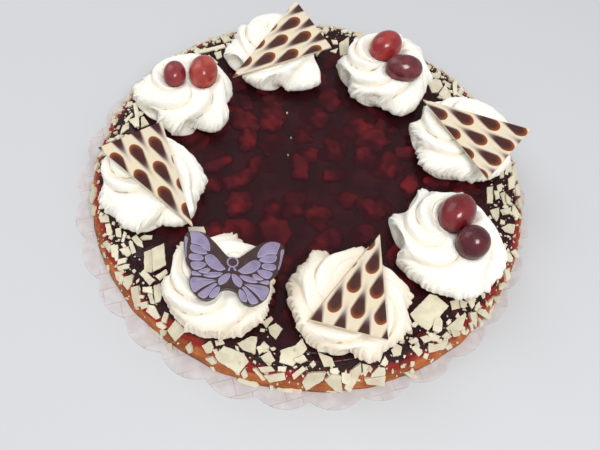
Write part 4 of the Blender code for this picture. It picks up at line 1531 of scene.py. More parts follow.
SWIRLS = (
    Swirl("rosette_1", -32.0, 84.0, 23.0, (45, 127, 163, 227, 290, 344), (
        23.0, 23.0, 23.0, 23.0, 23.2, 24.5, 27.5, 30.2, 31.7, 32.4, 31.7, 24.4,
        23.1, 24.3, 31.1, 31.5, 29.0, 30.7, 31.3, 33.4, 32.0, 24.4, 24.1, 29.5,
        30.4, 31.5, 30.7, 27.0, 26.3, 29.4, 32.5, 34.8, 36.6, 36.2, 25.1, 23.1,
    )),
    Swirl("rosette_2", 37.5, 80.0, 24.0, (18, 65, 113, 153, 212, 275, 334), (
        30.5, 24.3, 24.1, 29.6, 33.0, 32.2, 33.9, 37.8, 38.1, 33.1, 24.5, 23.8,
        28.1, 31.8, 24.5, 23.8, 27.6, 29.0, 29.3, 27.0, 23.6, 23.7, 27.3, 27.3,
        28.7, 26.4, 26.3, 27.0, 29.3, 34.7, 35.0, 34.4, 32.4, 31.1, 29.4, 29.7,
    )),
    Swirl("rosette_3", 88.0, 36.0, 23.0, (45, 95, 154, 207, 281, 345), (
        28.9, 30.7, 33.0, 31.9, 25.7, 23.3, 23.1, 24.5, 31.1, 24.5, 23.1, 23.6,
        27.0, 28.8, 29.7, 26.7, 28.5, 31.3, 30.1, 30.5, 27.5, 29.6, 32.0, 33.4,
        33.6, 31.9, 30.6, 30.9, 29.6, 30.9, 32.2, 33.2, 33.9, 33.5, 31.4, 30.2,
    )),
    Swirl("rosette_4", 80.5, -39.0, 24.0, (5, 58, 105, 148, 208, 308), (
        30.3, 25.7, 24.0, 25.1, 24.1, 26.2, 31.9, 35.3, 32.2, 27.7, 30.9, 37.5,
        33.9, 24.7, 24.2, 30.4, 33.2, 30.4, 24.5, 23.6, 26.8, 31.0, 30.6, 30.6,
        30.5, 31.4, 31.8, 32.3, 33.5, 34.6, 35.4, 34.6, 34.4, 34.6, 33.8, 33.1,
    )),
    Swirl("rosette_5", 31.5, -84.0, 22.0, (58, 111, 161, 232, 302, 350), (
        29.6, 32.2, 33.5, 28.8, 24.4, 25.4, 30.4, 34.0, 34.5, 32.4, 25.3, 26.0,
        33.6, 36.0, 33.5, 33.7, 34.2, 34.3, 33.1, 31.9, 30.8, 30.5, 31.3, 30.8,
        29.7, 29.3, 28.8, 24.7, 28.3, 32.0, 32.5, 30.3, 31.2, 32.0, 32.3, 32.4,
    )),
    Swirl("rosette_6", -37.5, -86.0, 23.0, (6, 60, 115, 161, 208, 285), (
        28.3, 28.9, 29.9, 30.6, 30.5, 30.7, 30.3, 28.1, 31.6, 31.6, 27.4, 27.5,
        31.0, 32.4, 31.8, 29.4, 24.0, 23.9, 28.4, 29.1, 28.6, 27.1, 26.7, 26.5,
        27.1, 27.6, 28.2, 27.6, 27.8, 27.9, 28.5, 29.3, 29.1, 29.7, 29.6, 27.7,
    )),
    Swirl("rosette_7", -87.0, -26.5, 23.0, (31, 90, 140, 186, 287, 334), (
        30.9, 30.2, 28.6, 28.0, 28.1, 24.4, 23.1, 23.0, 23.0, 23.3, 25.2, 27.5,
        27.8, 27.6, 28.5, 29.3, 29.0, 28.6, 27.7, 25.4, 26.5, 28.5, 30.6, 31.1,
        30.3, 32.2, 33.8, 34.1, 31.8, 28.8, 32.5, 35.4, 35.0, 32.8, 30.2, 29.7,
    )),
    Swirl("rosette_8", -80.0, 38.0, 24.0, (50, 96, 141, 213, 284, 354), (
        24.4, 26.8, 27.0, 26.5, 26.7, 23.9, 24.0, 29.1, 30.4, 30.6, 29.8, 30.2,
        30.2, 24.1, 23.1, 24.0, 29.0, 29.7, 32.8, 32.2, 31.1, 28.5, 23.8, 23.6,
        26.9, 28.1, 30.0, 29.6, 24.1, 23.8, 28.2, 31.8, 32.3, 31.1, 28.3, 24.3,
    )),
)


@dataclass(frozen=True)
class Grape:
    """A grape: its middle, length and width in mm, heading and pitch in degrees, and skin."""

    x: float
    y: float
    z: float
    length: float
    width: float
    heading: float
    pitch: float
    colour: tuple
    light: tuple
    wrinkle: float = 0.0

    def place(self) -> Matrix:
        """Return the grape's frame.

        Returns:
            The frame, whose +Z is the grape's long axis.
        """
        return (
            Matrix.Translation(Vector((self.x, self.y, self.z)) * MM)
            @ Matrix.Rotation(math.radians(self.heading), 4, "Z")
            @ Matrix.Rotation(math.radians(90.0 - self.pitch), 4, "Y")
        )

    def half(self) -> Vector:
        """Return the half axes in metres."""
        return Vector((self.width, self.width, self.length)) * (0.5 * MM)


GRAPES = {
    "grape_1": Grape(-87.3, 40.8, 38.0, 17.0, 13.6, 98, 8, (116, 30, 38), (140, 50, 52)),
    "grape_2": Grape(-71.0, 45.4, 38.5, 21.4, 17.2, 91, 10, (152, 50, 44), (178, 80, 66)),
    "grape_3": Grape(36.7, 89.3, 38.5, 22.5, 18.6, 50, 8, (140, 32, 38), (164, 54, 50)),
    "grape_4": Grape(48.8, 71.7, 39.5, 23.6, 16.8, 5, 0, (92, 30, 39), (118, 52, 56), 1.0),
    "grape_5": Grape(83.2, -27.9, 38.0, 24.2, 19.2, 61, 5, (104, 22, 29), (126, 37, 40)),
    "grape_6": Grape(90.6, -46.6, 41.0, 18.9, 18.4, 60, 30, (72, 16, 25), (92, 28, 35)),
}
TRIANGLES = {
    "chocolate_triangle_1": (56.7, -4.1, 13.1, 0.05),
    "chocolate_triangle_2": (62.0, 3.6, 14.0, 0.0),
    "chocolate_triangle_3": (55.3, 1.7, 14.0, 0.0),
    "chocolate_triangle_4": (56.0, 3.1, 14.0, 0.0),
}
# The front swirls, dressed in the copy of the cream with much more painted shade.
SHADED_SWIRLS = ("rosette_5", "rosette_6")
CARRIED = {
    "rosette_1": ("chocolate_triangle_1",),
    "rosette_2": ("grape_3", "grape_4"),
    "rosette_3": ("chocolate_triangle_2",),
    "rosette_4": ("grape_5", "grape_6"),
    "rosette_5": ("chocolate_triangle_3",),
    "rosette_6": ("butterfly",),
    "rosette_7": ("chocolate_triangle_4",),
    "rosette_8": ("grape_1", "grape_2"),
}


class FlatPiece:
    """A flat plate of chocolate, read from its solid: its frame, outline and thickness."""

    def __init__(self, node: str) -> None:
        """Read the plate.

        Args:
            node: The solid's node.
        """
        body = welded_copy(node)
        top = max(body.faces, key=lambda face: face.calc_area() * (face.normal.z > 0.5))
        corners = [vertex.co.copy() for vertex in top.verts]
        body.faces.ensure_lookup_table()
        low = min((corners[0] - v.co).dot(top.normal) for v in body.verts)
        high = max((corners[0] - v.co).dot(top.normal) for v in body.verts)
        self.thickness = high - low
        normal = top.normal.copy()
        body.free()
        origin, ahead = self.axis(corners)
        left = normal.cross(ahead).normalized()
        self.frame = Matrix((ahead, left, normal)).transposed().to_4x4()
        self.frame.translation = origin - normal * self.thickness
        flat = [self.frame.inverted() @ corner for corner in corners]
        self.outline = np.array([(point.x, point.y) for point in flat])

    @staticmethod
    def axis(corners: list[Vector]) -> tuple[Vector, Vector]:
        """Return the sharpest corner and the direction from it to the outline's middle.

        Args:
            corners: The outline's corners.

        Returns:
            The corner and the direction.
        """
        def opening(index: int) -> float:
            """Return the angle at a corner."""
            before = corners[index - 1] - corners[index]
            after = corners[(index + 1) % len(corners)] - corners[index]
            return before.angle(after)

        middle = sum(corners, Vector()) / len(corners)
        sharp = corners[min(range(len(corners)), key=opening)]
        return sharp, (middle - sharp).normalized()

    def distance(self, x: np.ndarray, y: np.ndarray) -> np.ndarray:
        """Return how far points of the plate's plane lie outside its outline.

        Args:
            x: Their places along the plate.
            y: Their places across it.

        Returns:
            Distances, 0 inside the outline.
        """
        nearest = np.full(x.shape, np.inf)
        inside = np.zeros(x.shape, bool)
        ends = np.roll(self.outline, -1, axis=0)
        for (ax, ay), (bx, by) in zip(self.outline, ends):
            run_x, run_y = bx - ax, by - ay
            share = ((x - ax) * run_x + (y - ay) * run_y) / (run_x**2 + run_y**2)
            share = np.clip(share, 0.0, 1.0)
            gap = np.hypot(x - ax - share * run_x, y - ay - share * run_y)
            nearest = np.minimum(nearest, gap)
            if by != ay:
                crossing = ((ay > y) != (by > y)) & (x < ax + (y - ay) * run_x / run_y)
                inside ^= crossing
        return np.where(inside, 0.0, nearest)


@dataclass
class CreamPiping:
    """The form of every swirl: a star nozzle leaves folds that wind inwards, and frilled edges."""

    foot: float = FORM.jelly_top + GAP
    widest_share: float = 0.30
    tuck_angle: float = math.radians(128.0)
    fold_twist: float = 1.7
    twist_end: float = 1.0
    fold_depth: float = 5.0 * MM
    fold_crest: float = 0.8
    fold_roundness: float = 0.8
    fold_sink: float = 0.75
    lobe_band: tuple = (0.9, 1.45)
    sway_band: tuple = (0.5, 1.35)
    bulge: float = 0.85
    centre_dip: float = 3.0 * MM
    dip_angle: float = 0.35
    press_gap: float = 0.5 * MM
    press_slope: float = 1.2
    least_cream: float = 1.5 * MM
    seat_depth: float = 0.35
    seat_slope: float = 1.0
    seat_hollow: float = 0.2
    seat_softness: float = 1.2 * MM
    seat_rag: float = 0.7 * MM
    seat_rag_width: float = 2.2 * MM
    seat_clearance: float = 0.1 * MM
    seat_reach: tuple = (2.2, 1.2)
    frill_step: float = 3.1 * MM
    frill_depth: float = 3.6 * MM
    fine_frill_step: float = 1.5 * MM
    fine_frill_depth: float = 0.8 * MM
    frill_bands: tuple = ((1.1, 1.42), (2.0, 1.62))
    frill_shares: tuple = (0.7, 0.3)
    frill_waves: tuple = (7.0, 4.0)
    frill_middles: tuple = (0.45, 0.5, 0.55)
    frill_wind: float = 0.7
    frill_steps: tuple = (0.35, 1.65)
    frill_heights: tuple = (0.1, 1.0)
    frill_fullness: float = 0.6
    crest_tooth: float = 0.7 * MM
    crest_tooth_step: float = 1.9 * MM
    crest_shares: tuple = ((0.55, 0.82), (1.0, 0.93))
    crest_bands: tuple = ((0.45, 0.9), (1.5, 1.2))
    crease_shares: tuple = ((0.22, 0.0), (0.9, 1.0))
    crease_bands: tuple = ((0.1, 0.4), (1.5, 1.1))
    lumps: float = 0.34 * MM
    lump_width: float = 6.0 * MM
    grain: float = 0.10 * MM
    grain_width: float = 1.6 * MM
    even_foot: float = 1.0 * MM
    top_angle: float = math.radians(2.5)
    rings: int = 96
    fold_steps: int = 92

    def fold_rise(self, share: np.ndarray) -> np.ndarray:
        """Return a fold's height across it: a gentle rise, then a steep far edge.

        Args:
            share: Places across the fold, from 0 to 1.

        Returns:
            Heights between 0 and 1.
        """
        rising = np.sin(0.5 * math.pi * np.minimum(share / self.fold_crest, 1.0))
        rising = rising**self.fold_roundness
        fallen = np.maximum(share - self.fold_crest, 0.0) / (1.0 - self.fold_crest)
        falling = np.sqrt(np.maximum(1.0 - fallen**2, 0.0))
        return np.where(share < self.fold_crest, rising, falling)

    def frill(self, turn: np.ndarray, step: float, radius: float, seed: int) -> np.ndarray:
        """Return uneven round teeth with sharp notches.

        Args:
            turn: Directions in radians.
            step: The teeth's mean width.
            radius: The radius that they run round, which sets how many there are.
            seed: Seed of their draw.

        Returns:
            Heights between 0 and 1.
        """
        draw = np.random.default_rng(seed)
        count = int(math.tau * radius / step)
        steps = draw.uniform(*self.frill_steps, count)
        ends = np.concatenate([[0.0], np.cumsum(steps)]) / steps.sum() * math.tau
        heights = draw.uniform(*self.frill_heights, count)
        spot = np.mod(turn, math.tau)
        number = np.clip(np.searchsorted(ends, spot, side="right") - 1, 0, count - 1)
        phase = (spot - ends[number]) / (ends[number + 1] - ends[number])
        pointed = 1.0 - np.abs(2.0 * phase - 1.0)
        full = np.sin(math.pi * phase) ** self.frill_fullness
        return heights[number] * (0.5 * full + 0.5 * pointed)

    def surface(self, swirl: Swirl) -> tuple[np.ndarray, np.ndarray]:
        """Return a swirl's surface, before anything is pressed into it.

        Args:
            swirl: The swirl.

        Returns:
            Points as rings x steps x 3, from its top down, and how deep in a crease each lies.
        """
        folds = swirl.folds(self.fold_depth)
        seed = sum(map(ord, swirl.name))
        share = np.tile(np.arange(self.fold_steps) / self.fold_steps, len(folds))[None, :]
        parts = [[fold.start, fold.width, fold.depth] for fold in folds]
        start, width, depth = np.repeat(np.array(parts).T, self.fold_steps, axis=1)
        angle = np.linspace(self.top_angle, self.tuck_angle, self.rings)[:, None]
        height = swirl.height * MM
        widest = self.widest_share * height
        mean = swirl.mean_reach()
        spread = np.sin(angle) ** self.bulge
        bearing = start + width * share
        own = swirl.reach_at(np.degrees(bearing)) - mean
        reach = spread * (mean + own * smooth_step(*self.lobe_band, angle))
        wound = self.fold_twist * (1.0 - spread * np.minimum(angle / self.twist_end, 1.0))
        turn = bearing + wound
        slanted = turn - self.frill_wind * wound + 0.05 * np.sin(3.0 * angle + seed)
        skirt = hump(*self.frill_bands, angle)
        (steady, waving), (first, last) = self.frill_shares, self.frill_waves
        waves = np.sin(first * slanted + seed) * np.cos(last * slanted)
        skirt = skirt * (steady + waving * waves)
        middle, fine_middle, crest_middle = self.frill_middles
        coarse = self.frill(slanted, self.frill_step, mean, seed) - middle
        fine = self.frill(slanted + 0.25 * angle, self.fine_frill_step, mean, seed + 1)
        fine = fine - fine_middle
        reach = reach + (self.frill_depth * coarse + self.fine_frill_depth * fine) * skirt
        upper = widest + (height - widest) * np.cos(angle)
        lower = widest * (1.0 - np.cos(angle) / math.cos(self.tuck_angle))
        level = np.where(angle < math.pi / 2, upper, lower)
        level = level - self.centre_dip * np.exp(-((angle / self.dip_angle) ** 2))
        ends, starts = self.sway_band
        sway = hump((0.0, ends), (self.tuck_angle, starts), angle)
        level = level + (depth * self.fold_rise(share) - self.fold_sink * self.fold_depth) * sway
        along = 1.1 * angle + 0.3 * share + 2.0 * start
        teeth = self.frill(along, self.crest_tooth_step, mean, seed + 2) - crest_middle
        crest = hump(*self.crest_shares, share) * hump(*self.crest_bands, angle)
        level = level + self.crest_tooth * teeth * crest
        x = swirl.x * MM + reach * np.cos(turn)
        y = swirl.y * MM + reach * np.sin(turn)
        # How near each point lies to a fold's wall; the cream's material paints warm shade there.
        first, last = self.crease_shares
        near_wall = np.maximum(smooth_step(*first, share), smooth_step(*last, share))
        crease = near_wall * hump(*self.crease_bands, angle)
        return np.stack([x, y, self.foot + np.maximum(level, 0.0)], axis=-1), crease

    def soften(self, points: np.ndarray, seed: float) -> np.ndarray:
        """Add the cream's own unevenness, outwards from its surface.

        Args:
            points: The surface.
            seed: Seed of the unevenness.

        Returns:
            The moved points.
        """
        along = np.roll(points, -1, axis=1) - np.roll(points, 1, axis=1)
        down = np.gradient(points, axis=0)
        normal = np.cross(down, along)
        normal /= np.linalg.norm(normal, axis=-1, keepdims=True) + 1e-12
        uneven = self.lumps * rough(points, self.lump_width, seed)
        uneven += self.grain * rough(points, self.grain_width, seed + 9.0)
        held = smooth_step(0.0, self.even_foot, points[..., 2] - self.foot)
        return points + normal * (uneven * held)[..., None]

    def press(self, points: np.ndarray, plate: FlatPiece) -> np.ndarray:
        """Lower the cream where a flat piece is pressed into it.

        Args:
            points: The cream's surface.
            plate: The flat piece.

        Returns:
            The moved points.
        """
        normal = np.array(plate.frame.col[2])[:3]
        origin = np.array(plate.frame.translation)
        drop = ((points - origin) @ normal) / normal[2]
        flat = points - drop[..., None] * np.array([0.0, 0.0, 1.0])
        local = (flat - origin) @ np.array(plate.frame.to_3x3())
        outside = plate.distance(local[..., 0], local[..., 1])
        under = points[..., 2] - drop - self.foot - self.press_gap
        room = np.maximum(under, self.least_cream) + self.press_slope * outside
        share = (points[..., 2] - self.foot) / room
        flattened = 0.5 + 0.5 * np.tanh(2.0 * (share - 0.5))
        share = np.where(share > 0.5, flattened, share)
        pressed = points.copy()
        pressed[..., 2] = self.foot + room * share
        return pressed

    def seat(self, points: np.ndarray, grape: Grape) -> np.ndarray:
        """Lower the cream under and beside a grape, which lies in a shallow seat.

        Args:
            points: The cream's surface.
            grape: The grape that lies in it.

        Returns:
            The moved points.
        """
        place = grape.place()
        turn = np.array(place.to_3x3())
        half = np.array(grape.half()) + self.seat_clearance
        spot = (points - np.array(place.translation)) @ turn / half
        up = turn[2] / half
        square, cross = up @ up, spot @ up
        shadow = (spot * spot).sum(axis=-1) - cross**2 / square
        beside = np.sqrt(np.maximum(shadow, 0.0)) - 1.0
        slope = np.where(beside > 0.0, self.seat_slope, self.seat_hollow)
        highest = grape.z * MM + (slope * beside - self.seat_depth) * half[0]
        highest = highest + self.seat_rag * rough(points, self.seat_rag_width, grape.x)
        height = points[..., 2]
        apart = highest - height
        lowered = 0.5 * (highest + height - np.sqrt(apart**2 + self.seat_softness**2))
        near = smooth_step(*self.seat_reach, beside)
        lowered = height + (lowered - height) * near
        under = -(cross + np.sqrt(np.maximum(square * (1.0 - shadow), 0.0))) / square
        skin = np.where(shadow < 1.0, height + under, np.inf)
        moved = points.copy()
        moved[..., 2] = np.minimum(lowered, skin)
        return moved

    def build(self, swirl: Swirl, material: bpy.types.Material) -> None:
        """Build one swirl, pressed under what it carries.

        Args:
            swirl: The swirl.
            material: The cream's material.
        """
        points, crease = self.surface(swirl)
        points = self.soften(points, swirl.x)
        for load in CARRIED[swirl.name]:
            if load in GRAPES:
                points = self.seat(points, GRAPES[load])
            else:
                points = self.press(points, FlatPiece(load))
        points[..., 2] = np.maximum(points[..., 2], self.foot)
        name = "cream_" + swirl.name
        mesh = turned_mesh(name, points)
        # Each point's crease depth, painted as warm shade by the cream's material.
        mark(mesh, "crease", "POINT", [*crease.ravel().tolist(), 0.0, 0.0])
        settle(name, mesh, Slot.CREAM, material, [swirl.name])


# ---------------------------------------------------------------- grapes


@dataclass
class GrapeBunch:
    """The six grapes, each of its own size and colour."""

    segments: int = 64
    rings: int = 44
    size_share: float = 0.985
    swell: float = 0.02
    wrinkle: float = 0.012
    scar_width: float = 0.16
    scar_depth: float = 0.07

    def build_one(self, name: str, grape: Grape) -> None:
        """Build one grape.

        Args:
            name: Its solid's node.
            grape: Its size, place and colours.
        """
        body = bmesh.new()
        bmesh.ops.create_uvsphere(
            body, u_segments=self.segments, v_segments=self.rings, radius=1.0
        )
        shift = Vector((grape.x, grape.y, 0.0))
        stalk = Vector((0.0, 0.0, -1.0))
        for vertex in body.verts:
            away = vertex.co.normalized()
            swell = self.size_share + self.swell * noise.noise(away * 1.4 + shift)
            swell += self.wrinkle * grape.wrinkle * noise.noise(away * 5.0 + shift)
            scar = math.exp(-(((away - stalk).length / self.scar_width) ** 2))
            vertex.co = away * (swell - self.scar_depth * scar)
        shape = grape.place() @ Matrix.Diagonal((*grape.half(), 1.0))
        bmesh.ops.transform(body, matrix=shape, verts=body.verts)
        skin = GrapeSkin(name + "_skin", tone(*grape.colour), tone(*grape.light))
        mesh = mesh_of_body(skin.name, body)
        settle(skin.name, mesh, Slot.GRAPE, skin.material(), [name])

    def build(self) -> None:
        """Build every grape."""
        for name, grape in GRAPES.items():
            self.build_one(name, grape)


# ---------------------------------------------------------------- chocolate plates


@dataclass
class ChocolatePlates:
    """The four printed triangles and the butterfly."""

    edge: float = 0.22 * MM
    sharp: float = math.radians(60)

    def bevelled(self, node: str, name: str) -> bpy.types.Mesh:
        """Return a copy of a flat solid with softly broken edges.

        Args:
            node: The solid's node.
            name: The new mesh's name.

        Returns:
            The mesh.
        """
        body = welded_copy(node)
        rim = [edge for edge in body.edges if edge.calc_face_angle(0.0) > self.sharp]
        bmesh.ops.bevel(body, geom=rim, offset=self.edge, segments=2, affect="EDGES", profile=0.5)
        return mesh_of_body(name, body, smooth=False)

    def triangle(self, node: str, placing: Sequence[float]) -> None:
        """Build one printed triangle.

        Args:
            node: Its solid's node.
            placing: Where along and across the plate a drop's round end lies, the step from
                row to row, all in mm, and how far the rows lean.
        """
        plate = FlatPiece(node)
        finish = DropPrint(
            "print_" + node, plate.frame.translation, tuple(plate.frame.to_euler()),
            plate.thickness, *placing,
        )
        name = node.replace("chocolate", "printed")
        settle(name, self.bevelled(node, name), Slot.IVORY, finish.material(), [node])

    def build(self) -> None:
        """Build every plate."""
        for node, placing in TRIANGLES.items():
            self.triangle(node, placing)
        Butterfly().build(self.bevelled("butterfly", "butterfly_plate"))


@dataclass
class Butterfly:
    """The moulded butterfly: a dark plate with raised lilac cells and a ring for its head.

    The cells are those of the right wing, as x and y pairs in mm from the head.
    """

    x: float = -31.3
    y: float = -77.7
    z: float = 37.5
    heading: float = 4.0
    pitch: float = -5.8
    thickness: float = 2.0
    relief: float = 0.4
    slope: float = 0.38
    ring_radius: float = 2.6
    ring_width: float = 0.42
    ring_middle: float = -0.6
    cells: tuple = (
        (4.0, -5.5, 5.8, -6.3, 9.2, -5.6, 11.6, -4.1, 13.5, -1.9, 14.0, 0.5, 12.6, 2.0,
         10.6, 2.0, 8.2, 0.5, 5.4, -2.5, 3.1, -4.8),
        (13.9, 4.2, 16.4, 6.0, 19.4, 6.8, 21.7, 7.1, 22.1, 9.2, 22.7, 11.1, 23.1, 13.2,
         22.0, 13.9, 19.3, 14.1, 16.3, 12.8, 13.9, 10.3, 12.4, 7.2, 12.1, 4.2),
        (15.7, 1.6, 18.8, 1.8, 21.0, 2.7, 21.9, 4.5, 21.5, 6.5, 18.4, 6.0, 15.4, 5.3, 13.1, 2.4),
        (15.5, -1.8, 18.1, -2.3, 20.6, -2.3, 22.0, -0.9, 21.4, 1.0, 19.3, 1.3, 16.2, 1.1,
         14.6, -0.3),
        (13.7, -5.2, 15.4, -6.6, 18.0, -7.4, 19.9, -6.0, 20.5, -3.9, 18.6, -2.9, 15.5, -2.6,
         12.8, -3.4),
        (12.0, -8.5, 14.6, -8.7, 16.3, -7.9, 14.3, -6.6, 12.2, -5.6, 10.5, -6.3),
        (5.6, -9.1, 7.7, -10.2, 10.7, -10.6, 13.7, -9.9, 12.6, -8.9, 10.2, -7.7, 7.4, -7.2,
         4.2, -7.4),
        (23.8, 6.6, 23.6, 3.1, 23.0, -1.0, 23.6, -1.5, 24.4, 2.0, 24.9, 6.2, 25.4, 9.2,
         25.1, 10.6, 23.8, 9.5),
        (15.7, -10.3, 19.0, -10.4, 19.0, -8.3, 16.6, -8.6, 14.1, -9.7),
        (8.5, -13.0, 11.7, -15.2, 14.4, -17.5, 16.5, -19.5, 18.3, -17.5, 19.4, -14.3,
         18.8, -12.0, 15.8, -11.4, 10.8, -11.5, 6.8, -11.7),
        (6.6, -14.5, 8.4, -17.0, 9.6, -20.0, 11.3, -22.0, 13.3, -21.7, 14.8, -20.4,
         12.9, -18.0, 10.2, -15.5, 7.4, -13.2, 6.0, -13.8),
        (4.6, -16.9, 5.4, -19.2, 6.8, -20.9, 8.8, -21.3, 9.2, -20.0, 8.2, -17.5, 6.6, -15.5,
         4.9, -15.0),
        (0.6, -9.3, 1.9, -11.9, 4.1, -13.6, 5.4, -13.6, 6.0, -11.3, 4.8, -9.2, 2.4, -7.4,
         0.4, -7.2),
    )
    neck: tuple = (
        (-1.5, -4.0, -1.9, -5.4, -1.0, -5.6, -0.8, -4.2, -0.3, -2.9, -0.9, -2.7),
        (0.8, -4.2, 1.7, -5.2, 2.4, -4.6, 1.6, -3.8, 0.9, -2.7, 0.3, -2.9),
    )

    def frame(self) -> Matrix:
        """Return the frame of the plate's upper face.

        Returns:
            The frame, in mm, its origin at the head.
        """
        return (
            Matrix.Translation(Vector((self.x, self.y, self.z)) * MM)
            @ Matrix.Rotation(math.radians(self.heading), 4, "Z")
            @ Matrix.Rotation(-math.radians(self.pitch), 4, "Y")
            @ Matrix.Scale(MM, 4)
            @ Matrix.Translation((0.0, 0.0, self.thickness))
        )

    def rounded(self, numbers: tuple, side: float = 1.0) -> np.ndarray:
        """Return a cell's smooth outline, counter-clockwise.

        Args:
            numbers: Its corners' x and y, one after the other.
            side: 1 for the right wing and -1 for the left.

        Returns:
            Corners in mm, four for each given one.
        """
        outline = np.array(numbers).reshape(-1, 2) * (side, 1.0)
        if side < 0:
            outline = outline[::-1]
        for _ in range(2):
            after, last = np.roll(outline, -1, axis=0), np.roll(outline, -2, axis=0)
            before = np.roll(outline, 1, axis=0)
            between = (9 * (outline + after) - before - last) / 16
            outline = np.stack([outline, between], axis=1).reshape(-1, 2)
        return outline

    def cushion(self, outline: np.ndarray, base: int) -> tuple[list, list, list]:
        """Return a low raised cell with sloping flanks.

        Args:
            outline: Its corners in mm, counter-clockwise.
            base: Number of its first point.

        Returns:
            Its points, its faces, and for each face whether it gets the painted highlight on the cell's
            rim.
        """
        place = self.frame()
        count = len(outline)
        ahead = np.roll(outline, -1, axis=0) - np.roll(outline, 1, axis=0)
        inwards = np.stack([-ahead[:, 1], ahead[:, 0]], axis=1)
        inwards /= np.linalg.norm(inwards, axis=1, keepdims=True)
        levels = ((0.0, -0.2), (0.0, 0.35 * self.relief), (self.slope, self.relief))
        points = [
            place @ Vector((x, y, height))
            for inset, height in levels for x, y in outline + inwards * inset
        ]
        return points, body_faces(base, count), [1.0] * (2 * count) + [0.0, 0.0]

    def head_ring(self, around: int = 32, section: int = 8) -> tuple[list, list, list]:
        """Return the raised ring that stands for the head.

        Args:
            around: Steps round the ring.
            section: Steps round its section.

        Returns:
            Its points, its faces, and for each face how much painted rim highlight it gets.
        """
        place = self.frame()
        points, faces = [], []
        for i in range(around):
            turn = math.tau * i / around
            for j in range(section):
                swing = math.tau * j / section
                reach = self.ring_radius + self.ring_width * math.cos(swing)
                spot = Vector((
                    reach * math.cos(turn), reach * math.sin(turn) + self.ring_middle,
                    self.relief * (0.35 + 0.65 * math.sin(swing)),
                ))
                points.append(place @ spot)
                k, after = (j + 1) % section, (i + 1) % around * section
                faces.append([i * section + j, after + j, after + k, i * section + k])
        return points, faces, [0.5] * len(faces)

    def build(self, plate: bpy.types.Mesh) -> None:
        """Dress the plate and build what is raised on it.

        Args:
            plate: The plate's mesh.
        """
        settle("butterfly_plate", plate, Slot.COCOA, DarkChocolate().material(), ["butterfly"])
        points, faces, rim_highlights = self.head_ring()
        outlines = [self.rounded(cell, side) for cell in self.cells for side in (1.0, -1.0)]
        for outline in outlines + [self.rounded(bar) for bar in self.neck]:
            more, sides, rim = self.cushion(outline, len(points))
            points += more
            faces += sides
            rim_highlights += rim
        mesh = mesh_of("butterfly_cells", points, faces)
        # Painted highlight: the share of lighter lilac on each face, full on the cells' flanks.
        mark(mesh, "rim", "FACE", rim_highlights)
        mesh.set_sharp_from_angle(angle=math.radians(35))
        settle("butterfly_cells", mesh, Slot.COCOA, LilacChocolate().material())


# ---------------------------------------------------------------- white chocolate flakes


